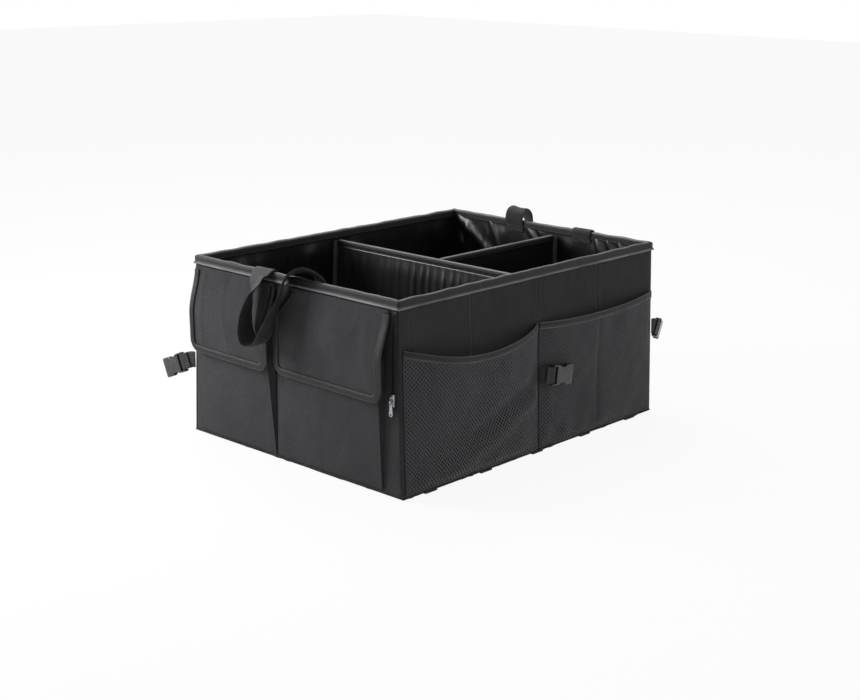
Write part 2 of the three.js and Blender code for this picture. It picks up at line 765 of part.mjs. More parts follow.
// The far handle stands up a little over the rim before it hangs outside
function farHandle() {
  const tailY = farHandleLeg - farHandleSpread;
  handle('handle_far', 1, [
    ...handleLeg(farHandleLeg, 0).slice(0, 3),
    ...hanging(farHandleLeg, farHandleHang, [
      [-0.104, 0, 0.04, 0, 1, 0],
      [-0.078, -0.02, 0.167, 0, 1, 0],
      [0.005, -0.05, 0.22, 0.1, 1, 0],
      [0.1, -0.094, 0.135, 0.25, 1, 0],
      [0.151, -0.146, -0.063, 0.5, 0.85, 0],
      [0.203, -0.22, -0.365, 0.85, 0.5, 0],
      [0.234, -0.333, -0.688, 1, 0.1, 0],
      [0.245, -0.542, -0.927, 1, 0, 0],
      [0.245, -0.813, -1, 1, 0, 0],
      [0.24, -1.083, -0.906, 1, 0, 0],
      [0.224, -1.292, -0.667, 1, 0.1, 0],
      [0.172, -1.417, -0.365, 0.75, 0.65, 0],
      [0.089, -1.479, -0.125, 0.3, 0.95, 0],
    ]),
    [rimMiddle + overRim * 1.15, tailY, -3, 0.05, 1, 0],
    [rimMiddle + overRim * 0.75, tailY, handleLift * 0.6, 0, 1, 0],
    ...handleLeg(tailY, 0).slice(0, 6).reverse(),
  ], 76);
}

// Side-release buckle half on a sewn stub of webbing

// Seen flat: bar end, waist and mouth end
function buckleOutline() {
  const half = buckleWidth / 2 - buckleRound;
  const waist = buckleWaist / 2 - buckleRound;
  const shape = new THREE.Shape();
  const end = buckleLength - 2 * buckleRound;
  shape.moveTo(1.5, -half);
  shape.lineTo(buckleLength * 0.2, -half);
  shape.quadraticCurveTo(buckleLength * 0.34, -half, buckleLength * 0.42, -waist);
  shape.lineTo(buckleLength * 0.58, -waist);
  shape.quadraticCurveTo(buckleLength * 0.66, -half, buckleLength * 0.8, -half);
  shape.lineTo(end - 2, -half);
  shape.quadraticCurveTo(end, -half, end, -half + 2);
  shape.lineTo(end, half - 2);
  shape.quadraticCurveTo(end, half, end - 2, half);
  shape.lineTo(buckleLength * 0.8, half);
  shape.quadraticCurveTo(buckleLength * 0.66, half, buckleLength * 0.58, waist);
  shape.lineTo(buckleLength * 0.42, waist);
  shape.quadraticCurveTo(buckleLength * 0.34, half, buckleLength * 0.2, half);
  shape.lineTo(1.5, half);
  shape.quadraticCurveTo(0, half, 0, half - 1.5);
  shape.lineTo(0, -half + 1.5);
  shape.quadraticCurveTo(0, -half, 1.5, -half);
  return shape;
}

function buckleGeometry() {
  const body = new THREE.ExtrudeGeometry(buckleOutline(), {
    depth: buckleThickness - 2 * buckleRound,
    bevelEnabled: true,
    bevelThickness: buckleRound,
    bevelSize: buckleRound,
    bevelSegments: 2,
    curveSegments: 4,
  });
  body.translate(buckleRound, 0, -(buckleThickness - 2 * buckleRound) / 2);
  const slotHalf = strapWidth / 2 + 0.7;
  const slot = block(buckleBar, buckleBar + buckleSlot, -slotHalf, slotHalf, -20, 20);
  const aboveBar = block(-2, buckleBar + 1, -slotHalf, slotHalf, buckleBarHalf, 20);
  const belowBar = block(-2, buckleBar + 1, -slotHalf, slotHalf, -20, -buckleBarHalf);
  const mouthHalf = buckleThickness / 2 - buckleWall;
  const mouthStart = buckleLength - buckleMouthDepth;
  const halfMouth = buckleMouthWidth / 2;
  const mouth = block(mouthStart, buckleLength + 5, -halfMouth, halfMouth, -mouthHalf, mouthHalf);
  const windows = block(mouthStart + 3, buckleLength * 0.76, -30, 30, -mouthHalf, mouthHalf);
  return cut(body, slot, aboveBar, belowBar, mouth, windows);
}

// root is where the webbing leaves the seam, heading how it starts, pointing how the buckle lies
function strapAndBuckle(name, root, heading, lead, pointing, facing) {
  const along = pointing.clone().normalize();
  const out = facing.clone().addScaledVector(along, -facing.dot(along)).normalize();
  const wide = out.clone().cross(along);
  const bar = root.clone().addScaledVector(heading, lead).addScaledVector(along, strapStub - lead);
  const basis = new THREE.Matrix4().makeBasis(along, wide, out).setPosition(bar);
  addPiece(`buckle_${name}`, buckleGeometry().applyMatrix4(basis), plastic);

  // The webbing goes round the bar and back under itself
  const layer = webbingThickness / 2 + seamGap / 2;
  const barMiddle = buckleBar / 2;
  const wrap = Math.hypot(barMiddle, buckleBarHalf) + seamGap + webbingThickness / 2;
  const turn = evenSteps(-1.9, 1.9, 8).map((angle) => [
    barMiddle + wrap * Math.cos(angle),
    wrap * Math.sin(angle),
  ]);
  const local = [[-7, -layer - 0.4], ...turn, [-7, layer + 0.4], [-strapTail, layer]];
  const stations = local.map(([x, z]) => {
    const point = new THREE.Vector3(x, 0, z).applyMatrix4(basis);
    return [...point.toArray(), ...wide.toArray()];
  });
  const early = root.clone().addScaledVector(heading, lead * 0.6).addScaledVector(out, -layer);
  const sewn = facing.clone().addScaledVector(heading, -facing.dot(heading)).cross(heading).normalize();
  const turning = sewn.clone().lerp(wide, 0.4);
  stations.unshift([...root.toArray(), ...sewn.toArray()], [...early.toArray(), ...turning.toArray()]);
  addPiece(`strap_${name}`, ribbon(stations, strapWidth, webbingThickness, 44), webbing);
}

function straps() {
  const cornerOut = halfLength + strapRootGap;
  const sideOut = (z) => lean(halfWidth, z) + strapRootGap;
  strapAndBuckle(
    'left',
    new THREE.Vector3(-cornerOut, sideOut(leftStrapHeight), leftStrapHeight),
    new THREE.Vector3(-0.45, 0.89, 0).normalize(),
    strapLead,
    new THREE.Vector3(-0.04, 0.9, -0.4),
    new THREE.Vector3(-1, 0, 0),
  );
  strapAndBuckle(
    'right',
    new THREE.Vector3(cornerOut, -sideOut(rightStrapHeight), rightStrapHeight),
    new THREE.Vector3(0.89, -0.45, 0).normalize(),
    strapLead,
    new THREE.Vector3(0.8, 0.46, -0.34),
    new THREE.Vector3(0, -1, 0),
  );
  strapAndBuckle(
    'front',
    new THREE.Vector3(0.2, -lean(halfWidth, frontStrapHeight) - 1.5, frontStrapHeight),
    new THREE.Vector3(0.45, -0.89, 0).normalize(),
    frontStrapLead,
    new THREE.Vector3(1, -0.03, -0.13),
    new THREE.Vector3(0, -1, 0),
  );
}

// Dividers inside

const loopStripDepth = hookThickness + 2 * seamGap;
const innerX = halfLength - wallThickness;
const innerY = halfWidth - wallThickness;
const dividerFoot = floorTop + 0.4;
const dividerHalf = dividerThickness / 2;

function dividerTape(name, x0, x1, y0, y1, alongX) {
  const over = seamGap + tapeThickness;
  const foot = dividerTop - dividerTapeHeight;
  const [sideX, sideY] = alongX ? [0, 1] : [1, 0];
  const grow = (by, z0, z1, past) => block(x0 - sideX * by - sideY * past, x1 + sideX * by + sideY * past,
    y0 - sideY * by - sideX * past, y1 + sideY * by + sideX * past, z0, z1);
  const folded = cut(grow(over, foot, dividerTop, 0), grow(seamGap, foot - 1, dividerTop - tapeThickness, 5));
  addPiece(name, leaned(folded), tape);
}

function crossDivider() {
  const reach = innerY - loopStripDepth;
  const top = dividerTop - tapeThickness - seamGap;
  const panel = block(-dividerHalf, dividerHalf, -reach, reach, dividerFoot, top);
  addPiece('cross_divider', leaned(panel), nylon);
  dividerTape('cross_divider_binding', -dividerHalf, dividerHalf, -reach, reach, false);

  // Loose cloth over the face towards the lidded pockets, gathered under the binding
  const face = -dividerHalf - seamGap;
  const wave = (u, v) => {
    const crowd = u ** 1.35;
    const swing = 0.5 - 0.5 * Math.cos(2 * Math.PI * gatherCount * crowd);
    const fall = 0.25 + 0.75 * v ** 0.7;
    return gatherDepth * fall * swing * (0.55 + 0.45 * Math.sin(2.1 + 11 * u));
  };
  const place = (offset) => (u, v) => new THREE.Vector3(
    face - offset - (offset > 0 ? wave(1 - u, v) : 0),
    -reach + 2 + (2 * reach - 4) * u,
    dividerFoot + 3 + (dividerTop - dividerTapeHeight - dividerFoot - 4) * v,
  );
  const cover = sheet(evenSteps(0, 1, gatherCount * 6), evenSteps(0, 1, 2), place(0), place(liningThickness));
  addPiece('cross_divider_cover', leaned(cover), nylon);
}

function longDivider() {
  const x0 = dividerHalf + loopStripDepth;
  const x1 = innerX - loopStripDepth;
  const top = dividerTop - tapeThickness - seamGap;
  const y0 = longDividerY - dividerHalf;
  const y1 = longDividerY + dividerHalf;
  addPiece('long_divider', block(x0, x1, y0, y1, dividerFoot, top), nylon);
  dividerTape('long_divider_binding', x0 + 2, x1, y0, y1, true);
}

// Loop strips on the lining that hold the dividers' ends
function loopStrips() {
  const foot = floorTop + 2;
  const top = rimTapeFoot - 4;
  const half = hookWidth / 2;
  for (const [name, side] of [['mesh_side', -1], ['plain_side', 1]]) {
    const y = side * (innerY - seamGap);
    const strip = block(-half, half, y, y - side * hookThickness, foot, top);
    addPiece(`loop_strip_${name}`, leaned(strip), hookLoop);
  }
  const y0 = longDividerY - half;
  const y1 = longDividerY + half;
  const farX = innerX - seamGap;
  addPiece('loop_strip_far_end', block(farX, farX - hookThickness, y0, y1, foot, top), hookLoop);
  const middleX = dividerHalf + seamGap;
  const underTape = dividerTop - dividerTapeHeight - 1;
  addPiece('loop_strip_cross_divider', block(middleX, middleX + hookThickness, y0, y1, foot, underTape), hookLoop);
}

base();
longWall('mesh_side', -1, [-halfLength + cornerStrip, -quarterSeam, 0, quarterSeam]);
longWall('plain_side', 1, [-quarterSeam, 0, quarterSeam]);
endWall('pocket_end', -1);
endWall('far_end', 1);
rimBinding();
for (const side of ['left', 'right']) {
  pocketBody(side);
  lid(side);
  hookPair(side);
}
meshPocket(0);
meshPocket(1);
meshTape(0);
meshTape(1);
zip();
zipSlider();
zipPull();
nearHandle();
farHandle();
straps();
crossDivider();
longDivider();
loopStrips();

export default organizer;
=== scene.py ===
import bmesh
import bpy
import math
from mathutils import Matrix, Vector, noise


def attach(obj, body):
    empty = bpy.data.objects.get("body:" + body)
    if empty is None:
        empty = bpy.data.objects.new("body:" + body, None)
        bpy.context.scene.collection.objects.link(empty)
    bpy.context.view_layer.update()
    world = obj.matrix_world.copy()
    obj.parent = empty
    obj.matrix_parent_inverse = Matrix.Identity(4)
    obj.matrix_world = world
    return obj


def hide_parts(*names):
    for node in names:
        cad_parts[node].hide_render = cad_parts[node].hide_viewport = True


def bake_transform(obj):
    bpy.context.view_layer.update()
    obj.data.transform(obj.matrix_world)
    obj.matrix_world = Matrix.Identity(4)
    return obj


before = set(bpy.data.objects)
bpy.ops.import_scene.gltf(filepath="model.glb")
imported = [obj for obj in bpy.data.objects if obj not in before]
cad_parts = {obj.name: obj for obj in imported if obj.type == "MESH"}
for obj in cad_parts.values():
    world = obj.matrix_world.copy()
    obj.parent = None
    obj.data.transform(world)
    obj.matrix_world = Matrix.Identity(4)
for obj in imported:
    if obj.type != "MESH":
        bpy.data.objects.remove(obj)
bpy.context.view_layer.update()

# Lengths below are millimetres in the part's own frame; pieces are made in metres.
mm = 0.001
root = "organizer"
print("frame loaded:", len(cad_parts), "nodes")

# small helpers


def hexColour(text):
    # sRGB hex to linear
    parts = [int(text[i:i + 2], 16) / 255 for i in (0, 2, 4)]
    return tuple(c / 12.92 if c <= 0.04045 else ((c + 0.055) / 1.055) ** 2.4 for c in parts)


def smooth(t):
    t = min(1.0, max(0.0, t))
    return t * t * (3 - 2 * t)


def mix(a, b, t):
    return a + (b - a) * t


def steps(a, b, count):
    return [a + (b - a) * i / count for i in range(count + 1)]


def ripple(x, y, z, size, depth):
    # soft noise of a given size, in millimetres
    return depth * noise.noise(Vector((x / size, y / size, z / size)))


def hump(x, middle, wide):
    # 1 at the middle, falling away on both sides
    return math.exp(-((x - middle) / wide) ** 2)


def makeMesh(name, points, faces, material, flat=False):
    mesh = bpy.data.meshes.new(name)
    mesh.from_pydata([(p[0] * mm, p[1] * mm, p[2] * mm) for p in points], [], faces)
    mesh.materials.append(material)
    for polygon in mesh.polygons:
        polygon.use_smooth = not flat
    mesh.update()
    thing = bpy.data.objects.new(name, mesh)
    bpy.context.scene.collection.objects.link(thing)
    return thing


def faceOutward(thing):
    work = bmesh.new()
    work.from_mesh(thing.data)
    bmesh.ops.remove_doubles(work, verts=work.verts, dist=1e-6)
    bmesh.ops.recalc_face_normals(work, faces=work.faces)
    if work.calc_volume(signed=True) < 0:
        bmesh.ops.reverse_faces(work, faces=work.faces)
    work.to_mesh(thing.data)
    work.free()
    return thing


def closedSheet(name, columns, rows, front, back, material):
    # cloth with thickness: two grids closed round the edge
    wide, tall = len(columns), len(rows)
    points = [side(u, v) for side in (front, back) for v in rows for u in columns]

    def at(side, row, column):
        return side * wide * tall + row * wide + column

    faces = []
    for row in range(tall - 1):
        for column in range(wide - 1):
            a, b = at(0, row, column), at(0, row, column + 1)
            c, d = at(0, row + 1, column + 1), at(0, row + 1, column)
            faces.append((a, b, c, d))
            shift = wide * tall
            faces.append((a + shift, d + shift, c + shift, b + shift))
        faces.append((at(0, row, 0), at(0, row + 1, 0), at(1, row + 1, 0), at(1, row, 0)))
        end = wide - 1
        faces.append((at(0, row, end), at(1, row, end), at(1, row + 1, end), at(0, row + 1, end)))
    for column in range(wide - 1):
        faces.append((at(0, 0, column), at(1, 0, column), at(1, 0, column + 1), at(0, 0, column + 1)))
        top = tall - 1
        faces.append((at(0, top, column), at(0, top, column + 1), at(1, top, column + 1), at(1, top, column)))
    return faceOutward(makeMesh(name, points, faces, material))


def sweep(name, sections, material, ring=False):
    # tape or webbing drawn through its sections; a ring joins the last section to the first
    size, count = len(sections[0]), len(sections)
    faces = []
    for i in range(count if ring else count - 1):
        here, there = i * size, (i + 1) % count * size
        for k in range(size):
            n = (k + 1) % size
            faces.append((here + k, there + k, there + n, here + n))
    if not ring:
        faces.append(tuple(range(size)))
        faces.append(tuple(reversed(range((count - 1) * size, count * size))))
    return makeMesh(name, [p for section in sections for p in section], faces, material)


def softEdges(thing, width, segments=2, angle=40):
    bevel = thing.modifiers.new("edge", "BEVEL")
    bevel.width = width * mm
    bevel.segments = segments
    bevel.limit_method = "ANGLE"
    bevel.angle_limit = math.radians(angle)
    bevel.harden_normals = False
    return settle(thing)


def settle(thing):
    # bakes the modifiers into the piece's own mesh
    graph = bpy.context.evaluated_depsgraph_get()
    baked = bpy.data.meshes.new_from_object(thing.evaluated_get(graph))
    thing.modifiers.clear()
    thing.data = baked
    return thing


def markPaintedHighlight(thing, section, marks):
    # the painted highlight is given for each point of the section that the piece repeats
    layer = thing.data.attributes.new("wear", "FLOAT", "POINT")
    for i in range(len(thing.data.vertices)):
        layer.data[i].value = marks.get(i % section, 0.0)
    return thing


def place(thing, body, nodes=()):
    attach(thing, body)
    if nodes:
        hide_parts(*nodes)
    return thing


def addNode(tree, kind, settings=None, links=None):
    # one node with its settings, inputs by name or number, and links into it
    node = tree.nodes.new(kind)
    for key, value in (settings or {}).items():
        if isinstance(key, int) or key in node.inputs:
            node.inputs[key].default_value = value
        else:
            setattr(node, key, value)
    for key, source in (links or {}).items():
        tree.links.new(source, node.inputs[key])
    return node


def openTree(name, sizes, finish):
    # an empty Geometry Nodes tree with a mesh, named sizes and a material as its inputs
    tree = bpy.data.node_groups.new(name, "GeometryNodeTree")
    tree.interface.new_socket("Geometry", in_out="INPUT", socket_type="NodeSocketGeometry")
    tree.interface.new_socket("Geometry", in_out="OUTPUT", socket_type="NodeSocketGeometry")
    for label, value in sizes.items():
        socket = tree.interface.new_socket(label, in_out="INPUT", socket_type="NodeSocketFloat")
        socket.default_value = value
    tree.interface.new_socket(finish, in_out="INPUT", socket_type="NodeSocketMaterial")
    return tree, addNode(tree, "NodeGroupInput").outputs


def closeTree(tree, geometry, finish):
    # the export drops instances, so every tree ends in real geometry with its material
    real = addNode(tree, "GeometryNodeRealizeInstances", {}, {"Geometry": geometry})
    dressed = addNode(tree, "GeometryNodeSetMaterial", {},
                      {"Geometry": real.outputs["Geometry"], "Material": finish})
    addNode(tree, "NodeGroupOutput", {}, {"Geometry": dressed.outputs["Geometry"]})
    return tree


def applyTree(thing, tree, values):
    # inputs are set by identifier before the first evaluation; the result becomes the piece's own mesh
    rows = thing.modifiers.new(tree.name, "NODES")
    rows.node_group = tree
    for item in tree.interface.items_tree:
        if item.item_type == "SOCKET" and item.in_out == "INPUT" and item.name in values:
            rows[item.identifier] = values[item.name]
    return settle(thing)


# materials

# what a cloth may leave out of its look; slub and patch are sizes in millimetres
clothBase = {"slub": 1.6, "slubDepth": 0.8, "patch": 60, "mottle": 0.5, "fleck": 0.25, "weaveShade": 0.12,
             "shadeFrom": 0.45, "uneven": 0.12, "specular": 0.4, "fuzz": "d0d0d4", "fuzzRough": 0.45,
             "wearGain": 1.7}


def blankMaterial(name):
    material = bpy.data.materials.new(name)
    material.use_nodes = True
    material.node_tree.nodes.clear()
    return material, material.node_tree


def cloth(name, look):
    # woven or knitted cloth: two crossed thread waves, slight colour change, sheen
    look = {**clothBase, **look}
    material, tree = blankMaterial(name)
    onPiece = look.get("map")
    where = addNode(tree, "ShaderNodeTexCoord").outputs["UV" if onPiece else "Object"]
    parts = addNode(tree, "ShaderNodeSeparateXYZ", {}, {0: where}).outputs
    flatAxis = addNode(tree, "ShaderNodeMath", {"operation": "ADD"}, {0: parts["X"], 1: parts["Y"]}).outputs[0]
    waves = []
    for source in (parts["X"], parts["Y"]) if onPiece else (flatAxis, parts["Z"]):
        scaled = addNode(tree, "ShaderNodeMath", {"operation": "MULTIPLY", 1: math.pi / (look["thread"] * mm)},
                         {0: source})
        waves.append(addNode(tree, "ShaderNodeMath", {"operation": "SINE"}, {0: scaled.outputs[0]}).outputs[0])
    weave = addNode(tree, "ShaderNodeMath", {"operation": "MULTIPLY"}, {0: waves[0], 1: waves[1]}).outputs[0]
    grain = addNode(tree, "ShaderNodeTexNoise", {"Scale": 1 / (look["slub"] * mm), "Detail": 3.0},
                    {"Vector": where}).outputs[0]
    patch = addNode(tree, "ShaderNodeTexNoise", {"Scale": 1 / (look["patch"] * mm), "Detail": 3.0},
                    {"Vector": where}).outputs[0]
    height = addNode(tree, "ShaderNodeMath", {"operation": "MULTIPLY_ADD", 1: look["slubDepth"]},
                     {0: grain, 2: weave})
    bump = addNode(tree, "ShaderNodeBump", {"Strength": look["bump"], "Distance": look["depth"] * mm},
                   {"Height": height.outputs[0]})
    shade = addNode(tree, "ShaderNodeMath", {"operation": "MULTIPLY_ADD", 1: look["weaveShade"], 2: 0.5},
                    {0: weave})
    mottle = addNode(tree, "ShaderNodeMath", {"operation": "MULTIPLY_ADD", 1: look["mottle"]},
                     {0: patch, 2: shade.outputs[0]})
    flecked = addNode(tree, "ShaderNodeMath", {"operation": "MULTIPLY_ADD", 1: look["fleck"]},
                      {0: grain, 2: mottle.outputs[0]})
    ramp = addNode(tree, "ShaderNodeValToRGB", {}, {0: flecked.outputs[0]})
    ramp.color_ramp.elements[0].position = look["shadeFrom"]
    ramp.color_ramp.elements[0].color = (*hexColour(look["dark"]), 1)
    ramp.color_ramp.elements[1].position = 1.0
    ramp.color_ramp.elements[1].color = (*hexColour(look["light"]), 1)
    low = look["rough"] - look["uneven"] / 2
    rough = addNode(tree, "ShaderNodeMath", {"operation": "MULTIPLY_ADD", 1: look["uneven"], 2: low}, {0: patch})
    colour = ramp.outputs[0]
    if "worn" in look:
        # the attribute marks folds and edges, where a highlight is painted into the colour, lighter in patches
        wear = addNode(tree, "ShaderNodeAttribute", {"attribute_name": "wear"}).outputs["Fac"]
        patchyHighlight = addNode(tree, "ShaderNodeMath", {"operation": "MULTIPLY"}, {0: wear, 1: patch})
        gained = addNode(tree, "ShaderNodeMath",
                         {"operation": "MULTIPLY", 1: look["wearGain"], "use_clamp": True}, {0: patchyHighlight.outputs[0]})
        blend = addNode(tree, "ShaderNodeMix", {"data_type": "RGBA", 7: (*hexColour(look["worn"]), 1)},
                        {0: gained.outputs[0], 6: colour})
        colour = blend.outputs[2]
    shader = addNode(tree, "ShaderNodeBsdfPrincipled", {
        "IOR": 1.5,
        "Specular IOR Level": look["specular"],
        "Sheen Weight": look["sheen"],
        "Sheen Roughness": look["fuzzRough"],
        "Sheen Tint": (*hexColour(look["fuzz"]), 1),
    }, {"Base Color": colour, "Roughness": rough.outputs[0], "Normal": bump.outputs[0]})
    addNode(tree, "ShaderNodeOutputMaterial", {}, {"Surface": shader.outputs[0]})
    return material


mouldBase = {"metal": 0.0, "skinDepth": 0.08, "cloud": 14, "shadeFrom": 0.3, "shadeTo": 0.7, "uneven": 0.16}


def moulded(name, look):
    # moulded plastic or cast metal: fine skin texture and slightly uneven gloss
    look = {**mouldBase, **look}
    material, tree = blankMaterial(name)
    where = addNode(tree, "ShaderNodeTexCoord").outputs["Object"]
    skin = addNode(tree, "ShaderNodeTexNoise", {"Scale": 1 / (look["grain"] * mm), "Detail": 4.0},
                   {"Vector": where})
    cloud = addNode(tree, "ShaderNodeTexNoise", {"Scale": 1 / (look["grain"] * look["cloud"] * mm), "Detail": 2.0},
                    {"Vector": where})
    bump = addNode(tree, "ShaderNodeBump", {"Strength": look["bump"], "Distance": look["skinDepth"] * mm},
                   {"Height": skin.outputs[0]})
    ramp = addNode(tree, "ShaderNodeValToRGB", {}, {0: cloud.outputs[0]})
    ramp.color_ramp.elements[0].position = look["shadeFrom"]
    ramp.color_ramp.elements[0].color = (*hexColour(look["dark"]), 1)
    ramp.color_ramp.elements[1].position = look["shadeTo"]
    ramp.color_ramp.elements[1].color = (*hexColour(look["light"]), 1)
    low = look["rough"] - look["uneven"] / 2
    rough = addNode(tree, "ShaderNodeMath", {"operation": "MULTIPLY_ADD", 1: look["uneven"], 2: low},
                    {0: cloud.outputs[0]})
    shader = addNode(tree, "ShaderNodeBsdfPrincipled", {"Metallic": look["metal"]},
                     {"Base Color": ramp.outputs[0], "Roughness": rough.outputs[0], "Normal": bump.outputs[0]})
    addNode(tree, "ShaderNodeOutputMaterial", {}, {"Surface": shader.outputs[0]})
    return material


# 600D polyester oxford, PVC backed: matt charcoal with a basket weave; threads drawn 2.1 mm wide, coarser
# than the real 0.6 mm, so that the weave still shows
oxford = cloth("oxfordPolyester", {"thread": 2.1, "depth": 0.3, "dark": "161618", "light": "3b3b3d", "rough": 0.88,
                                   "sheen": 0.1, "bump": 0.8, "specular": 0.14, "weaveShade": 0.2,
                                   "fleck": 0.42, "slub": 2.2})
# plain-woven nylon lining: black, with the satin shine that shows every crease
lining = cloth("liningNylon", {"thread": 0.8, "depth": 0.08, "dark": "050506", "light": "121214", "rough": 0.29,
                               "sheen": 0.05, "bump": 0.22, "specular": 0.6, "slubDepth": 0.4})
# the same nylon where it is gathered: worked soft, so its shine is broader; its colour is painted paler than the
# lining's, as a lit copy of the same nylon
gathered = cloth("gatheredNylon", {"thread": 0.8, "depth": 0.08, "dark": "09090a", "light": "1b1b1e", "rough": 0.36,
                                   "sheen": 0.1, "bump": 0.22, "specular": 0.6, "slubDepth": 0.4})
# ribbed polyester binding tape: ribs across the tape, edges catch the light; its light grey is a painted highlight
# on marked folds and ridges
tape = cloth("bindingTape", {"thread": 1.1, "depth": 0.25, "dark": "0c0c0d", "light": "1e1e20", "rough": 0.52,
                             "sheen": 0.05, "bump": 0.45, "specular": 0.24, "worn": "8c8c92"})
# warp-knitted polyester netting
netting = cloth("polyesterMesh", {"thread": 1.0, "depth": 0.12, "dark": "19191b", "light": "454548", "rough": 0.6,
                                  "sheen": 0.15, "bump": 0.5, "specular": 0.3, "patch": 24, "mottle": 0.9})
# polypropylene webbing: flat ribs along its length, slightly shiny yarn
webbing = cloth("polypropyleneWebbing", {"map": True, "thread": 1.3, "depth": 0.4, "dark": "101012",
                                         "light": "2c2c2f", "rough": 0.56, "sheen": 0.1, "bump": 0.9,
                                         "specular": 0.3})
# nylon hook and loop: matt fuzz
hookLoop = cloth("hookAndLoopNylon", {"thread": 1.4, "depth": 0.6, "dark": "1a1a1b", "light": "47474a",
                                      "rough": 0.95, "sheen": 0.6, "bump": 1.0, "slub": 0.9, "slubDepth": 2.0})
# bonded polyester sewing thread
thread = cloth("polyesterThread", {"thread": 0.5, "depth": 0.1, "dark": "262628", "light": "505054", "rough": 0.5,
                                   "sheen": 0.2, "bump": 0.4})
# extruded fluted polypropylene board, sealed inside the walls
fluted = moulded("flutedPolypropylene", {"grain": 0.8, "bump": 0.2, "dark": "8a8c8a", "light": "a0a29f",
                                         "rough": 0.5})
# injection-moulded acetal, fine sparked skin
acetal = moulded("mouldedAcetal", {"grain": 0.35, "bump": 0.35, "dark": "222224", "light": "38383c", "rough": 0.24})
# die-cast zinc with a gunmetal plating
gunmetal = moulded("gunmetalZinc", {"grain": 0.3, "bump": 0.12, "dark": "8e8f94", "light": "b4b5ba", "rough": 0.28,
                                    "metal": 1.0})
print("materials made")

# sizes shared with the part

shell = {"length": 585.0, "width": 424.0, "height": 280.0, "splay": 12.0, "wall": 6.2, "clothThick": 1.6,
         "footZ": 4.2, "topZ": 278.6, "seam": 0.3, "quarterSeam": 146.0, "cornerStrip": 22.0,
         "nearLegs": (56.0, -52.0), "farLegs": (66.0, -77.0)}
halfLength = shell["length"] / 2
halfWidth = shell["width"] / 2


def lean(y, z):
    # the box widens towards its foot
    return y * (1 + shell["splay"] / halfWidth * (1 - z / shell["height"]))


def wallSpot(axis, side, a, z, depth):
    # a point on a wall that runs along "x" or "y", so far from the middle of the box
    if axis == "x":
        return (a, side * lean(depth, z), z)
    return (side * depth, lean(a, z), z)


# stitches: Geometry Nodes along a line of points


def stitchTree():
    sizes = {"Pitch": 0.0036, "Stitch Length": 0.0029, "Thread Radius": 0.00034}
    tree, given = openTree("stitchRow", sizes, "Thread")
    asCurve = addNode(tree, "GeometryNodeMeshToCurve", {}, {"Mesh": given["Geometry"]})
    spaced = addNode(tree, "GeometryNodeResampleCurve", {"mode": "LENGTH"},
                     {"Curve": asCurve.outputs["Curve"], "Length": given["Pitch"]})
    asPoints = addNode(tree, "GeometryNodeCurveToPoints", {"mode": "EVALUATED"},
                       {"Curve": spaced.outputs["Curve"]})
    half = addNode(tree, "ShaderNodeMath", {"operation": "MULTIPLY", 1: 0.5}, {0: given["Stitch Length"]})
    low = addNode(tree, "ShaderNodeMath", {"operation": "MULTIPLY", 1: -0.5}, {0: given["Stitch Length"]})
    endA = addNode(tree, "ShaderNodeCombineXYZ", {}, {"Z": low.outputs[0]})
    endB = addNode(tree, "ShaderNodeCombineXYZ", {}, {"Z": half.outputs[0]})
    line = addNode(tree, "GeometryNodeCurvePrimitiveLine", {},
                   {"Start": endA.outputs[0], "End": endB.outputs[0]})
    marks = addNode(tree, "GeometryNodeResampleCurve", {"mode": "COUNT", "Count": 5},
                    {"Curve": line.outputs["Curve"]})
    along = addNode(tree, "GeometryNodeSplineParameter")
    swell = addNode(tree, "ShaderNodeFloatCurve", {}, {"Value": along.outputs["Factor"]})
    curve = swell.mapping.curves[0]
    curve.points[0].location = (0.0, 0.25)
    curve.points[1].location = (1.0, 0.25)
    curve.points.new(0.25, 0.95)
    curve.points.new(0.75, 0.95)
    swell.mapping.update()
    sized = addNode(tree, "GeometryNodeSetCurveRadius", {},
                    {"Curve": marks.outputs["Curve"], "Radius": swell.outputs["Value"]})
    ring = addNode(tree, "GeometryNodeCurvePrimitiveCircle", {"Resolution": 5},
                   {"Radius": given["Thread Radius"]})
    body = addNode(tree, "GeometryNodeCurveToMesh", {"Fill Caps": True},
                   {"Curve": sized.outputs["Curve"], "Profile Curve": ring.outputs["Curve"]})
    if "Scale" in body.inputs:
        tree.links.new(swell.outputs["Value"], body.inputs["Scale"])
    spread = addNode(tree, "GeometryNodeInstanceOnPoints", {},
                     {"Points": asPoints.outputs["Points"], "Instance": body.outputs["Mesh"],
                      "Rotation": asPoints.outputs["Rotation"]})
    return closeTree(tree, spread.outputs["Instances"], given["Thread"])


rowTree = stitchTree()


def stitches(name, lines, stitch):
    # one object with a row of stitches along every line; a stitch is its pitch, length and thread radius
    points, edges = [], []
    for line in lines:
        start = len(points)
        points += [(p[0] * mm, p[1] * mm, p[2] * mm) for p in line]
        edges += [(start + i, start + i + 1) for i in range(len(line) - 1)]
    mesh = bpy.data.meshes.new(name)
    mesh.from_pydata(points, edges, [])
    thing = bpy.data.objects.new(name, mesh)
    bpy.context.scene.collection.objects.link(thing)
    pitch, length, radius = (size * mm for size in stitch)
    applyTree(thing, rowTree,
              {"Pitch": pitch, "Stitch Length": length, "Thread Radius": radius, "Thread": thread})
    return faceOutward(thing)


# walls: outer cloth

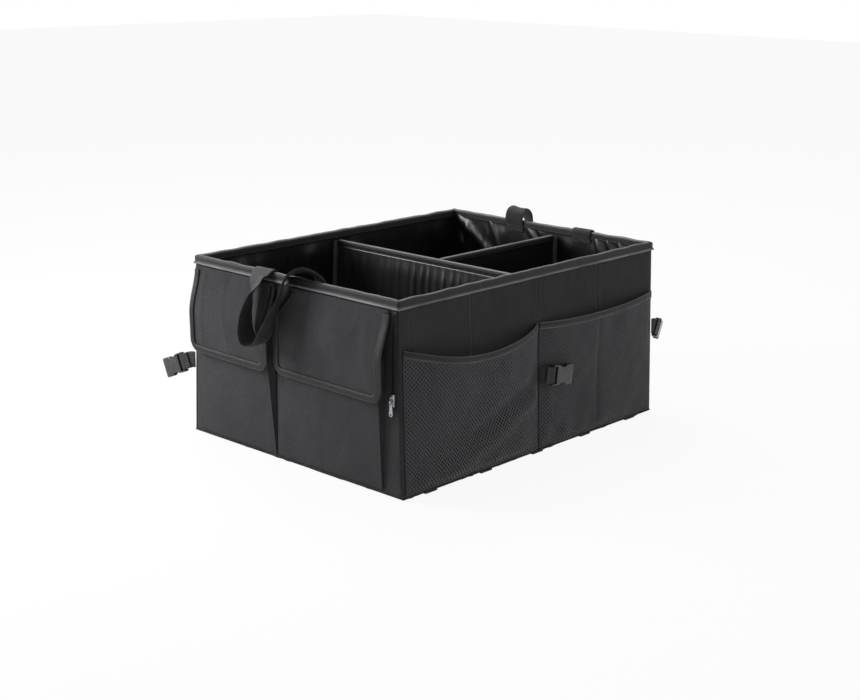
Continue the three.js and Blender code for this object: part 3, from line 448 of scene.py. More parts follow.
wallLook = {
    "grid": 5.0, "rows": 56, "edge": 9.0, "cornerTurn": 1.2, "cornerReach": 20.0, "most": 1.1, "least": -0.9,
    # each unevenness is a size and a depth
    "quilt": (70, 0.8), "fine": (26, 0.35), "footPucker": (17, 1.3), "brimPucker": (12, 0.5),
    "crease": 0.45, "brimWave": 0.35,
    # the cloth dips at a sewn seam, so wide and deep, and puffs beside it
    "seamWide": 1.3, "seamDip": 0.9, "puffOff": 5.0, "puffWide": 3.2, "puff": 0.5,
    "seamGrid": (-6, -4, -2.4, -1.2, 0, 1.2, 2.4, 4, 6),
    # its lower edge hangs loose between these lengths, in long and short waves
    "loose": (-2.4, 3.4), "longWave": (46, 4.0), "shortWave": (15, 1.6), "looseHigh": 6.0,
    # rows of stitches on both sides of each seam, just above the cloth
    "rowOff": 2.2, "rowLift": 0.12, "rowSpan": (10, 266), "stitch": (3.4, 2.6, 0.3),
}


def seamPull(x, seams):
    pull = 0.0
    for seam in seams:
        off = abs(x - seam)
        pull -= wallLook["seamDip"] * hump(off, 0, wallLook["seamWide"])
        pull += wallLook["puff"] * hump(off, wallLook["puffOff"], wallLook["puffWide"])
    return pull


def wallPuff(a, z, seams, seed):
    # how far the outer cloth stands off its flat place
    puff = ripple(a, seed, z, *wallLook["quilt"]) + ripple(a + 9, seed, z * 1.4, *wallLook["fine"])
    creased = noise.noise(Vector((a / 38 + seed, z / 120, 0.3)))
    puff += wallLook["crease"] * max(0.0, 1 - abs(creased) * 9)
    puff += hump(z, 4, 16) * ripple(a, z, seed, *wallLook["footPucker"])
    wave = wallLook["brimWave"] * math.sin(a / 5.5 + 2 * math.sin(a / 31 + seed))
    puff += hump(z, 268, 14) * (wave + ripple(a, seed, z, *wallLook["brimPucker"]))
    puff += seamPull(a, seams)
    return max(wallLook["least"], min(wallLook["most"], puff))


def outerCloth(name, axis, side, reach, seams, seed):
    count = round(2 * reach / wallLook["grid"])
    marks = sorted(set(steps(-reach, reach, count) + [s + d for s in seams for d in wallLook["seamGrid"]]))
    rows = steps(shell["footZ"], shell["topZ"], wallLook["rows"])
    face = halfWidth if axis == "x" else halfLength
    shortest, longest = wallLook["loose"]

    def front(a, z):
        edge = smooth((reach - abs(a)) / wallLook["edge"])
        turn = max(0.0, 1 - (reach - abs(a)) / wallLook["cornerReach"]) ** 2
        wavy = 1.0 + ripple(a, seed, 0, *wallLook["longWave"]) + ripple(a, seed, 0, *wallLook["shortWave"])
        hang = hump(z, shell["footZ"], wallLook["looseHigh"]) * max(shortest, min(longest, wavy))
        depth = face + wallPuff(a, z, seams, seed) * edge - wallLook["cornerTurn"] * turn
        return wallSpot(axis, side, a, z - hang, depth)

    return closedSheet(name, marks, rows, front,
                       lambda a, z: wallSpot(axis, side, a, z, face - shell["clothThick"]), oxford)


def seamRow(side, a, seams, seed):
    return [wallSpot("x", side, a, z, halfWidth + wallPuff(a, z, seams, seed) + wallLook["rowLift"])
            for z in steps(*wallLook["rowSpan"], 64)]


longReach = halfLength
endReach = halfWidth - shell["clothThick"] - shell["seam"]
meshSeams = [-halfLength + shell["cornerStrip"], -shell["quarterSeam"], 0.0, shell["quarterSeam"]]
plainSeams = [-shell["quarterSeam"], 0.0, shell["quarterSeam"]]
seamRows = []
for name, node, axis, side, reach, seams, seed in (
    ("meshSideCloth", "mesh_side_cloth", "x", -1, longReach, meshSeams, 3.1),
    ("plainSideCloth", "plain_side_cloth", "x", 1, longReach, plainSeams, 7.7),
    ("pocketEndCloth", "pocket_end_cloth", "y", -1, endReach, [], 12.9),
    ("farEndCloth", "far_end_cloth", "y", 1, endReach, [0.0], 21.3),
):
    wall = place(outerCloth(name, axis, side, reach, seams, seed), root, [node])
    # the end walls lean out at their sides, so their cloth is a little wider
    if axis == "x":
        seamRows += [seamRow(side, seam + off, seams, seed)
                     for seam in seams for off in (-wallLook["rowOff"], wallLook["rowOff"])]
place(stitches("wallSeamStitches", seamRows, wallLook["stitch"]), root)
print("outer cloth made")

# base

baseLook = {"clothZ": (2.3, 3.9), "liningZ": (7.5, 8.5), "boardInset": 1.9, "clothLift": 0.1, "liningLift": 1.1,
            "foldDip": 0.5, "foldWide": 3.0}


def floorSheet(name, reachX, reachY, z0, z1, lift, material, seed):
    # the loose lining dips at the fold across the middle, where the boards meet
    def top(x, y):
        edge = smooth((reachX - abs(x)) / 12) * smooth((reachY - abs(y)) / 12)
        rise = ripple(x, y, seed, 60, lift) + ripple(x, y, seed + 4, 19, lift * 0.4)
        dip = -baseLook["foldDip"] * hump(x, 0, baseLook["foldWide"]) if material is lining else 0.0
        return (x, lean(y, z1), z1 + max(-0.15, rise + dip) * edge)

    return closedSheet(name, steps(-reachX, reachX, 96), steps(-reachY, reachY, 70), top,
                       lambda x, y: (x, lean(y, z0), z0), material)


baseCloth = floorSheet("baseCloth", halfLength, halfWidth, *baseLook["clothZ"],
                       baseLook["clothLift"], oxford, 2.0)
place(baseCloth, root, ["base_cloth"])
liningX = halfLength - baseLook["boardInset"]
liningY = halfWidth - baseLook["boardInset"]
baseLining = floorSheet("baseLining", liningX, liningY, *baseLook["liningZ"],
                        baseLook["liningLift"], lining, 5.0)
place(baseLining, root, ["base_lining"])

# wall linings

liningLook = {
    "inset": 5.2, "thick": 1.0, "foot": 8.8, "grid": 3.6, "rows": 52, "longReach": 287.3, "endReach": 205.2,
    "billow": 2.4, "fold": 2.2, "cornerFold": 2.4, "cornerReach": 45, "fine": (26, 0.55),
    # it lies still so far from its loop strip, and so far round the sewn ends of the handles
    "stripHalf": 11, "legHalf": 24, "legFoot": 205,
    # long pulls on the far end: where each starts at the rim, its slope, half width, height and foot
    "pullTop": 272,
    "pulls": ((202, 1.45, 9.0, 3.9, 130), (214, 0.65, 4.0, 2.2, 160), (122, 0.5, 5.0, 2.4, 190),
              (40, 1.0, 4.5, 2.4, 190), (18, 1.1, 4.0, 2.0, 200), (-106, 0.45, 5.0, 2.8, 180),
              (-128, 0.5, 4.0, 2.6, 180), (-152, 0.5, 5.0, 2.4, 180)),
}


def liningPull(a, z, reach):
    rise = 0.0
    for start, slope, width, tall, low in liningLook["pulls"]:
        across = (a - start - slope * (z - liningLook["pullTop"])) / math.hypot(1, slope)
        rise += tall * hump(across, 0, width) * smooth((z - low) / 50)
    return rise * smooth((reach - abs(a)) / 6) * smooth((277 - z) / 7)


def liningBillow(a, z, reach, seed, strip, slant, legs):
    # loose nylon: it billows between seams, falls in folds and lies still under its loop strip
    edge = smooth((reach - abs(a)) / 20) * smooth((z - 9) / 30) * smooth((272 - z) / 26)
    still = smooth((abs(a - strip) - liningLook["stripHalf"]) / 16)
    billow = liningLook["billow"] * (0.5 + 0.5 * math.sin(a / 23 + z / 47 + seed))
    corner = hump(a - reach, -liningLook["cornerReach"], liningLook["cornerReach"]) if slant else 0.0
    drift = a / mix(8, 10, corner) - z * slant * corner / 17 + z / 90
    drift += 2.2 * noise.noise(Vector((a / 55, z / 110, seed)))
    patchy = smooth(0.5 + 1.6 * noise.noise(Vector((a / 75, z / 150, seed + 20))) + slant * 0.3)
    fold = mix(liningLook["fold"], liningLook["cornerFold"], corner) * patchy
    fold = fold * (0.5 + 0.5 * math.sin(drift)) ** 1.5
    pull = still * liningPull(a, z, reach) if slant else 0.0
    loose = 0.6 + 0.4 * billow + fold + ripple(a, seed, z, *liningLook["fine"])
    held = 1.0
    for leg in legs:
        beside = math.exp(-((a - leg) / liningLook["legHalf"]) ** 4)
        held *= 1 - beside * smooth((z - liningLook["legFoot"]) / 20)
    return held * (pull + edge * still * loose)


def wallLining(name, axis, side, reach, *folds):
    face = (halfWidth if axis == "x" else halfLength) - liningLook["inset"]
    inner = face - liningLook["thick"]
    columns = steps(-reach, reach, round(2 * reach / liningLook["grid"]))
    return closedSheet(name, columns, steps(liningLook["foot"], shell["topZ"], liningLook["rows"]),
                       lambda a, z: wallSpot(axis, side, a, z, inner - liningBillow(a, z, reach, *folds)),
                       lambda a, z: wallSpot(axis, side, a, z, face), lining)


noStrip = -300.0
longLined, endLined = liningLook["longReach"], liningLook["endReach"]
for name, node, axis, side, reach, seed, strip, slant, legs in (
    ("meshSideLining", "mesh_side_lining", "x", -1, longLined, 1.0, 0.0, 0.0, ()),
    ("plainSideLining", "plain_side_lining", "x", 1, longLined, 4.2, 0.0, 0.0, ()),
    ("pocketEndLining", "pocket_end_lining", "y", -1, endLined, 8.6, noStrip, 0.0, shell["nearLegs"]),
    ("farEndLining", "far_end_lining", "y", 1, endLined, 11.4, -16.0, 1.0, shell["farLegs"]),
):
    loose = place(wallLining(name, axis, side, reach, seed, strip, slant, legs), root, [node])
print("linings made")

# rim binding

rimLook = {
    "thick": 1.1, "foot": 268.5, "seam": 0.3, "step": 3.0, "cornerOut": 1.38,
    "wave": 0.8, "drop": 0.5, "lift": 2.0, "pucker": 0.8,
    # painted highlight by point of the section: the two ridges are painted lightest
    "wear": {1: 0.5, 2: 1.0, 3: 0.4, 8: 0.2, 9: 0.3, 10: 0.9, 11: 0.6},
    "stitchOff": 1.62, "stitchZ": 271.2, "stitch": (3.8, 3.0, 0.33),
}


def rimPath():
    # the middle line of the wall top, all the way round, with outward directions
    path = []
    for (sx, sy, ex, ey) in ((-1, -1, 1, -1), (1, -1, 1, 1), (1, 1, -1, 1), (-1, 1, -1, -1)):
        x0, y0, x1, y1 = sx * halfLength, sy * halfWidth, ex * halfLength, ey * halfWidth
        long = math.dist((x0, y0), (x1, y1))
        count = round(long / rimLook["step"])
        out = Vector(((y1 - y0) / long, -(x1 - x0) / long))
        path += [(mix(x0, x1, i / count), mix(y0, y1, i / count), out) for i in range(1, count)]
        path.append((x1, y1, Vector((ex, ey)).normalized() * rimLook["cornerOut"]))
    return path


def rimSection(x, y, out):
    # profile of the folded tape: up the outside, over the top and down the inside
    over = rimLook["seam"] + rimLook["thick"]
    wall = shell["wall"]
    h = shell["height"]
    foot = rimLook["foot"]
    sway = rimLook["wave"] * noise.noise(Vector((x / 16, y / 16, 0.7)))
    drop = rimLook["drop"] * noise.noise(Vector((x / 34, y / 34, 5.2)))
    lift = rimLook["lift"] * (0.5 + 0.7 * noise.noise(Vector((x / 29, y / 29, 3.1))))
    pucker = rimLook["pucker"] * abs(noise.noise(Vector((x / 7, y / 7, 2.0))))
    marks = [
        (over - 0.3 + sway * 0.4, foot - 0.6 + drop), (over + 0.8 + sway * 0.4, foot - 0.3 + drop),
        (over + 1.15 + sway * 0.4, foot + 0.8 + drop), (over + 0.2, foot + 2.5), (over - 0.75, foot + 3.9),
        (over - 0.85 + pucker, foot + 6.6), (over - 0.5, h - 1.7), (over - 1.0, h - 0.4 + lift * 0.4),
        (over - 2.7, h + 0.1 + lift), (-wall / 2, h - 0.1 + lift), (-wall + 1.4, h + 0.2 + lift),
        (-wall - 0.4, h - 0.3 + lift * 0.5),
        (-wall - over + 0.3, h - 1.4), (-wall - over, foot + 7.4), (-wall - over - 0.1, foot + 3.2),
        (-wall - over - 0.15, foot + 0.7 - drop), (-wall - over + 0.15, foot - drop),
        (-wall - rimLook["seam"], foot + 0.3), (-wall - rimLook["seam"], h - rimLook["thick"] - 0.2),
        (rimLook["seam"], h - rimLook["thick"] - 0.2), (rimLook["seam"], foot + 0.3),
    ]
    return [(x + out[0] * d, lean(y + out[1] * d, z), z) for d, z in marks]


def rimLine(distance, z):
    closed = path + path[:1]
    return [(x + out[0] * distance, lean(y + out[1] * distance, z), z) for x, y, out in closed]


path = rimPath()
sections = [rimSection(*spot) for spot in path]
rim = faceOutward(sweep("rimBinding", sections, tape, ring=True))
# the rim's ridges get a painted highlight in the tape's colour
markPaintedHighlight(rim, len(sections[0]), rimLook["wear"])
place(rim, root, ["rim_binding"])
rimRows = [rimLine(rimLook["stitchOff"], rimLook["stitchZ"]),
           rimLine(-shell["wall"] - rimLook["stitchOff"], rimLook["stitchZ"])]
place(stitches("rimStitches", rimRows, rimLook["stitch"]), root)
print("rim binding made")

# lidded pockets

pocketLook = {
    "foot": 9.0, "mouth": 196.0, "footDepth": 3.4, "crown": 2.0, "thick": 1.6, "gape": 7.0,
    "left": {"span": (204.0, 32.0), "depths": (12.0, 18.0), "seed": 2.4},
    "right": {"span": (28.0, -186.0), "depths": (8.0, 15.0), "seed": 9.1},
}


def pocketDepth(side, y, z):
    # how far the pocket's front stands off the wall
    start, end = pocketLook[side]["span"]
    first, last = pocketLook[side]["depths"]
    t = (y - start) / (end - start)
    rise = min(1.0, (z - pocketLook["foot"]) / (pocketLook["mouth"] - pocketLook["foot"]))
    swell = pocketLook["crown"] * math.sin(math.pi * max(0.0, rise)) * math.sin(math.pi * min(1.0, max(0.0, t)))
    return pocketLook["footDepth"] + (mix(first, last, t) - pocketLook["footDepth"]) * rise + max(0.0, swell)


def pocketSlack(side, y, z):
    # soft creases of the pocket's front, stilled at its edges
    start, end = pocketLook[side]["span"]
    seed = pocketLook[side]["seed"]
    near = min(abs(y - start), abs(y - end))
    edge = smooth(near / 14) * smooth((z - 9) / 16)
    crease = max(0.0, 1 - abs(noise.noise(Vector((y / 60 + z / 160, z / 210, seed)))) * 10)
    slack = ripple(y, z, seed, 48, 0.9) + ripple(y, z * 1.3, seed, 19, 0.35) - 0.6 * crease
    return edge * slack


def pocketFace(side, y, z):
    return -halfLength - (pocketDepth(side, y, z) + pocketSlack(side, y, z))


def pocketOutline(side):
    # the cloth's path seen from above: wall, gusset, front, gusset, wall
    start, end = pocketLook[side]["span"]
    facing = 1 if end > start else -1
    marks = [("gusset", start, t) for t in steps(0, 1, 7)]
    marks += [("front", y, 1.0) for y in steps(start + facing * 1.0, end - facing * 1.0, 46)]
    marks += [("gusset", end, t) for t in steps(1, 0, 7)]
    return marks


def pocketPoint(side, mark, z, inset):
    kind, y, t = mark
    start, end = pocketLook[side]["span"]
    facing = 1 if end > start else -1
    # the two pockets gape apart towards their mouths
    gap = end if side == "left" else start
    rise = (z - pocketLook["foot"]) / (pocketLook["mouth"] - pocketLook["foot"])
    gape = pocketLook["gape"] * rise * math.exp(-abs(y - gap) / 14) * (1 if side == "left" else -1)
    if kind == "gusset":
        inward = facing if y == start else -facing
        depth = pocketDepth(side, y, z)
        tuck = 1.0 * math.sin(math.pi * t) * smooth((z - 20) / 60)
        return (-halfLength - 0.35 - (depth - 0.35 - inset) * t, y + inward * (inset + tuck) + gape * t, z)
    front = pocketFace(side, y, z)
    edgeRound = 0.7 * hump(min(abs(y - start), abs(y - end)), 0, 1.6)
    y = min(max(y, min(start, end) + inset), max(start, end) - inset)
    return (front + edgeRound + inset, y + gape, z)


for side in ("left", "right"):
    outline = pocketOutline(side)
    rows = steps(pocketLook["foot"], pocketLook["mouth"], 44)
    bag = closedSheet("pocket" + side.title(), range(len(outline)), rows,
                      lambda i, z: pocketPoint(side, outline[i], z, 0.0),
                      lambda i, z: pocketPoint(side, outline[i], z, pocketLook["thick"]), oxford)
    place(bag, root, ["pocket_" + side])
    start, end = pocketLook[side]["span"]

lidLook = {
    "top": 266.3, "thick": 2.4, "length": 128.0, "standOff": 1.8, "clearance": 3.4, "corner": 18.0,
    "tapeStart": 5.0, "tapeWidth": 10.0, "tapeThick": 1.1, "notchWidth": 26.0, "notchDrop": 46.0,
    "left": (207.0, 30.0), "right": (22.0, -198.0), "edgeWear": {4: 0.1, 5: 0.2, 6: 0.1},
    "stitchInset": 8.3, "stitchOff": 1.72, "stitch": (3.6, 2.9, 0.34),
    # dents: how far along the lid and down it, how wide and how deep
    "dents": {"left": ((92.0, 40.0, 22.0, 1.6),), "right": ((-28.0, 20.0, 14.0, 1.2), (-36.0, 52.0, 20.0, 3.2))},
}


def lidDepth(side, y, z):
    mouth = pocketDepth(side, y, pocketLook["mouth"]) + lidLook["clearance"]
    if z > pocketLook["mouth"]:
        rise = smooth((lidLook["top"] - z) / (lidLook["top"] - pocketLook["mouth"]))
        return mix(lidLook["standOff"], mouth, rise)
    return mouth - 0.45 * (pocketDepth(side, y, pocketLook["mouth"]) - pocketDepth(side, y, z))


def lidEdges(side, down):
    # the right lid narrows towards its hinge, and both have rounded lower corners
    start, end = lidLook[side]
    facing = 1 if end > start else -1
    notch = lidLook["notchWidth"] * (1 - smooth(down / lidLook["notchDrop"])) if side == "right" else 0.0
    past = max(0.0, down - (lidLook["length"] - lidLook["corner"]))
    radius = lidLook["corner"]
    tuck = radius - math.sqrt(max(0.0, radius * radius - past * past))
    return start + facing * (notch + tuck), end - facing * tuck


def lidSlack(side, y, z):
    seed = 5.0 if side == "left" else 14.0
    down = lidLook["top"] - z
    left, right = lidEdges(side, max(0.0, down))
    near = min(abs(y - left), abs(y - right), abs(lidLook["length"] - down))
    edge = smooth((near - 6) / 16) * smooth(down / 12)
    slack = ripple(y, z, seed, 52, 1.7) + ripple(y, z, seed + 3, 21, 0.5)
    ridge = noise.noise(Vector((y / 46, z / 120, seed)))
    slack += 0.9 * max(0.0, 1 - abs(ridge) * 7)
    brim = hump(down, 0, 10) * ripple(y, seed, z, 9, 0.7)
    for spotY, spotDown, size, deep in lidLook["dents"][side]:
        slack -= deep * math.exp(-((y - spotY) ** 2 + (down - spotDown) ** 2) / size ** 2)
    return edge * slack + brim * smooth(down / 3)


def lidRows():
    # more rows round the lower corners; the first and last keep just clear of the edge
    low = lidLook["length"] - lidLook["corner"]
    turn = [math.sin(a) for a in steps(0, math.pi / 2, 14)[1:]]
    return [0.01] + steps(0, low, 44)[1:] + [low + lidLook["corner"] * min(s, 0.9996) for s in turn]


def lidFace(side, y, z):
    return -halfLength - lidDepth(side, y, z) - lidSlack(side, y, z)


def lidPoint(side, u, down, offset):
    left, right = lidEdges(side, down)
    y = mix(left, right, u)
    z = lidLook["top"] - down
    return (lidFace(side, y, z) - offset, y, z)


def lidRim(side, inset, down):
    # a line round the lid's three free edges, set in from the edge
    points = []
    radius = lidLook["corner"] - inset
    low = lidLook["length"] - lidLook["corner"]
    start, end = lidLook[side]
    facing = 1 if end > start else -1
    for d in steps(down, low, 40):
        points.append((lidEdges(side, d)[0] + facing * inset, d))
    for a in steps(0, math.pi / 2, 12)[1:]:
        points.append((start + facing * (lidLook["corner"] - radius * math.cos(a)), low + radius * math.sin(a)))
    inner = lidLook["corner"] + 4
    for y in steps(start + facing * inner, end - facing * inner, 44):
        points.append((y, lidLook["length"] - inset))
    for a in steps(math.pi / 2, 0, 12)[:-1]:
        points.append((end - facing * (lidLook["corner"] - radius * math.cos(a)), low + radius * math.sin(a)))
    for d in steps(low, down, 40):
        points.append((end - facing * inset, d))
    return points


def lidBinding(side):
    # folded tape: outer leg, rounded fold past the edge, inner leg
    thick, reach = lidLook["thick"], lidLook["tapeWidth"]
    over, half = 0.45 + lidLook["tapeThick"], thick / 2
    profile = [(reach, 0.35), (reach - 0.3, over), (reach * 0.55, over + 0.12), (2.0, over), (0.2, over - 0.1),
               (-1.0, half * 0.7), (-1.35, -half), (-1.0, -half - 0.9), (0.2, -thick - over + 0.4),
               (2.0, -thick - over + 0.1), (reach * 0.55, -thick - over), (reach - 0.3, -thick - over + 0.1),
               (reach, -thick - 0.35), (1.6, -thick - 0.35), (-0.2, -half), (1.6, 0.35)]
    lines = [lidRim(side, inset, lidLook["tapeStart"]) for inset, _ in profile]
    sections = []
    for spots in zip(*lines):
        section = []
        for (inset, off), (y, down) in zip(profile, spots):
            z = lidLook["top"] - down
            wave = 0.22 * noise.noise(Vector((y / 7, z / 7, inset)))
            section.append((lidFace(side, y, z) - thick - off - wave, y, z))
        sections.append(section)
    piece = faceOutward(sweep("lidBinding" + side.title(), sections, tape))
    # the fold past the lid's edge gets a painted highlight in the tape's colour
    return markPaintedHighlight(piece, len(profile), lidLook["edgeWear"])


for side in ("left", "right"):
    body = "pocket_lid_" + side
    panel = closedSheet("lid" + side.title(), steps(0, 1, 46), lidRows(),
                        lambda u, d: lidPoint(side, u, d, lidLook["thick"]),
                        lambda u, d: lidPoint(side, u, d, 0.0), oxford)
    place(panel, body, ["lid_" + side])
    edging = place(lidBinding(side), body, ["lid_binding_" + side])
    row = []
    for y, down in lidRim(side, lidLook["stitchInset"], lidLook["tapeStart"] + 1):
        z = lidLook["top"] - down
        row.append((lidFace(side, y, z) - lidLook["thick"] - lidLook["stitchOff"], y, z))
    place(stitches("lidStitches" + side.title(), [row], lidLook["stitch"]), body)

# hook strip under each lid, loop strip on each pocket, with their fuzz
stripLook = {"wide": 20.0, "long": 90.0, "rise": 16.0, "gap": 0.1, "face": 1.1, "nap": 0.55, "napSize": 1.7}


def fuzzySheet(name, columns, rows, near, far, nap, seed):
    # the nap is small bumps on the far side
    def outer(u, v):
        a, b = near(u, v), far(u, v)
        grow = 1 + nap * abs(noise.noise(Vector((u / stripLook["napSize"], v / stripLook["napSize"], seed))))
        return tuple(a[i] + (b[i] - a[i]) * grow for i in range(3))

    return closedSheet(name, columns, rows, outer, near, hookLoop)


for side in ("left", "right"):
    start, end = pocketLook[side]["span"]
    middle = (start + end) / 2
    foot = lidLook["top"] - lidLook["length"] + stripLook["rise"]
    ys = steps(middle - stripLook["long"] / 2, middle + stripLook["long"] / 2, 62)
    zs = steps(foot, foot + stripLook["wide"], 16)

    for name, face, way, seed, body, node in (
        ("lidHook", lidFace, 1, 1.0, "pocket_lid_" + side, "lid_hook_strip_" + side),
        ("pocketLoop", pocketFace, -1, 4.0, root, "pocket_loop_strip_" + side),
    ):
        strip = fuzzySheet(name + side.title(), ys, zs,
                           lambda y, z: (face(side, y, z) + way * stripLook["gap"], y, z),
                           lambda y, z: (face(side, y, z) + way * stripLook["face"], y, z),
                           stripLook["nap"], seed)
        place(strip, body, [node])
print("lidded pockets made")

# mesh pockets

meshLook = {
    "thick": 1.2, "top": 212.0, "foot": 7.0, "midDrop": 12.0, "dip": (22.0, 6.0), "bulge": (19.0, 10.0),
    "seat": 0.5, "layer": 0.7, "spans": ((-287.5, -1.5), (1.5, 287.5)),
    "cellWide": 5.8, "cellTall": 6.4, "holeShare": 0.62, "yarnThick": 0.9,
    "hemWear": {0: 0.2, 1: 0.4, 4: 0.3, 5: 0.4}, "stitchDown": 8.0, "stitchOff": 1.05, "stitch": (3.6, 2.8, 0.32),
}


def meshMouth(index, x):
    x0, x1 = meshLook["spans"][index]
    t = (x - x0) / (x1 - x0)
    # the near mouth slopes down to the middle seam, and the far one rises a little from it
    slope = meshLook["midDrop"] * t if index == 0 else meshLook["midDrop"]
    ends = meshLook["top"] - slope + (2 * t if index else 0)
    return ends - meshLook["dip"][index] * math.sin(math.pi * t)


def meshDepth(index, x, z):
    x0, x1 = meshLook["spans"][index]
    t = min(1.0, max(0.0, (x - x0) / (x1 - x0)))
    across = 1 - (2 * t - 1) ** 4
    up = (z - meshLook["foot"]) / (meshMouth(index, x) - meshLook["foot"])
    down = 0.42 * math.sin(math.pi * min(1.0, up * 1.6 + 0.16)) * smooth((0.62 - up) * 7)
    seat = meshLook["seat"] + (meshLook["layer"] + 0.6) * smooth((up - 0.86) * 10)
    depth = seat + meshLook["bulge"][index] * across * max(down, smooth(up * 1.15)) * smooth(up * 15)
    loose = smooth(min(t, 1 - t) * 14) * smooth(up * 6) * smooth((1 - up) * 9)
    depth += loose * (ripple(x, z, index * 7.0, 62, 2.6) + ripple(x, z, index * 3.0 + 1, 24, 0.9))
    depth += 2.2 * smooth(up * 16) * math.exp(-((z - 26) / 16) ** 2) * ripple(x, z / 2, index + 4.0, 30, 1.6)
    return depth + loose * meshFold(index, x, z)


def meshFold(index, x, z):
    # the slanting fold low on the near pocket, and the pull down the middle of the far one
    if index == 0:
        across = 0.93 * (z - 112) - 0.37 * (x + 5)
        along = smooth((x + 215) / 130)
        return along * (6.6 * math.exp(-((across + 14) / 15) ** 2) - 3.6 * math.exp(-((across - 12) / 12) ** 2))
    return -2.2 * math.exp(-((x - 140) / 4.5) ** 2) + 1.2 * math.exp(-((x - 175) / 30) ** 2) * math.sin(z / 34)


def meshPoint(index, x, z, offset):
    depth = meshDepth(index, x, min(z, meshMouth(index, x)))
    return (x, -lean(halfWidth, z) - depth - offset, z)


def netTree():
    # every cell of a grid becomes a ring of yarn round a hole
    tree, given = openTree("nettingCells", {"Hole Share": 0.6}, "Yarn")
    inset = addNode(tree, "GeometryNodeExtrudeMesh", {"mode": "FACES", "Offset Scale": 0.0, "Individual": True},
                    {"Mesh": given["Geometry"]})
    shrunk = addNode(tree, "GeometryNodeScaleElements", {"domain": "FACE"},
                     {"Geometry": inset.outputs["Mesh"], "Selection": inset.outputs["Top"],
                      "Scale": given["Hole Share"]})
    opened = addNode(tree, "GeometryNodeDeleteGeometry", {"domain": "FACE"},
                     {"Geometry": shrunk.outputs["Geometry"], "Selection": inset.outputs["Top"]})
    return closeTree(tree, opened.outputs["Geometry"], given["Yarn"])


cellTree = netTree()


def netPanel(index, name):
    # diamonds set on alternate rows; the rows follow the wall
    x0, x1 = meshLook["spans"][index]
    halfX, halfZ = meshLook["cellWide"] / 2, meshLook["cellTall"] / 2
    columns = round((x1 - x0) / halfX)
    stepX = (x1 - x0) / columns
    points, numbered, faces = [], {}, []

    def vertex(i, j):
        if (i, j) not in numbered:
            x = x0 + i * stepX
            top = meshMouth(index, x) - 1.2
            z = min(meshLook["foot"] + j * halfZ, top)
            z += hump(z, meshLook["foot"], 9) * ripple(x, index, 0, 44, 3.0)
            numbered[(i, j)] = len(points)
            points.append(meshPoint(index, x, z, meshLook["thick"] / 2))
        return numbered[(i, j)]

    for i in range(-1, columns):
        rowTop = int((meshMouth(index, x0 + max(0, i) * stepX) - 2.4 - meshLook["foot"]) / halfZ)
        for j in range(-1, rowTop):
            if (i + j) % 2:
                continue
            ring = [(i, j + 1), (i + 1, j), (i + 2, j + 1), (i + 1, j + 2)]
            ring = [(min(max(a, 0), columns), max(b, 0)) for a, b in ring]
            kept = []
            for corner in ring:
                if corner not in kept:
                    kept.append(corner)
            if len(kept) > 2:
                faces.append([vertex(*corner) for corner in kept])
    net = makeMesh(name, points, faces, netting)
    applyTree(net, cellTree, {"Hole Share": meshLook["holeShare"], "Yarn": netting})
    work = bmesh.new()
    work.from_mesh(net.data)
    bmesh.ops.remove_doubles(work, verts=work.verts, dist=1e-5)
    work.to_mesh(net.data)
    work.free()
    body = net.modifiers.new("yarn", "SOLIDIFY")
    body.thickness = meshLook["yarnThick"] * mm
    body.offset = 0.0
    return settle(net)


def hemSection(index, x):
    # tape folded over the mouth
    profile = [(-9.6, 0.0), (-9.2, 0.85), (-5.0, 0.95), (-1.0, 0.9), (0.9, 0.4), (1.1, -0.5), (0.9, -1.5),
               (-1.0, -2.1), (-5.0, -2.15), (-9.2, -2.05), (-9.6, -1.2), (-9.0, -1.25), (-0.6, -1.25),
               (-0.6, 0.05), (-9.0, 0.05)]
    section = []
    for rise, off in profile:
        wave = 0.25 * noise.noise(Vector((x / 8, rise / 6, index)))
        section.append(meshPoint(index, x, meshMouth(index, x) + rise, meshLook["thick"] + off * 0.92 + wave))
    return section


for index, name, node, hemNode in ((0, "meshPocketNear", "mesh_pocket_near", "mesh_tape_near"),
                                   (1, "meshPocketFar", "mesh_pocket_far", "mesh_tape_far")):
    net = place(netPanel(index, name), root, [node])
    marks = steps(*meshLook["spans"][index], 150)
    sections = [hemSection(index, x) for x in marks]
    hem = faceOutward(sweep(name.replace("Pocket", "Tape"), sections, tape))
    # the folds of the hem get a painted highlight in the tape's colour
    markPaintedHighlight(hem, len(sections[0]), meshLook["hemWear"])
    place(hem, root, [hemNode])
    off = meshLook["thick"] + meshLook["stitchOff"]
    row = [meshPoint(index, x, meshMouth(index, x) - meshLook["stitchDown"], off) for x in marks]
    place(stitches(name + "Stitches", [row], meshLook["stitch"]), root)
print("mesh pockets made")

# webbing: handles and strap stubs

webLook = {"thick": 1.5, "handleWide": 38.0, "strapWide": 25.0, "edge": 0.55, "edgeShare": 0.35, "across": 14,
           "rib": 1.3, "ribDepth": 0.12, "stray": 0.25}


def splinePoint(points, t):
    # centripetal curve through the stations, t from 0 to 1
    span = t * (len(points) - 1)
    i = min(len(points) - 2, int(span))
    w = span - i
    p1, p2 = points[i], points[i + 1]
    p0 = points[i - 1] if i > 0 else p1 * 2 - p2
    p3 = points[i + 2] if i + 2 < len(points) else p2 * 2 - p1
    d0, d1, d2 = (max(1e-4, (b - a).length ** 0.5) for a, b in ((p0, p1), (p1, p2), (p2, p3)))
    m1 = ((p1 - p0) / d0 - (p2 - p0) / (d0 + d1) + (p2 - p1) / d1) * d1
    m2 = ((p2 - p1) / d1 - (p3 - p1) / (d1 + d2) + (p3 - p2) / d2) * d1
    return p1 + m1 * w + (p2 * 3 - p1 * 3 - m1 * 2 - m2) * w * w + (p1 * 2 - p2 * 2 + m1 + m2) * w ** 3


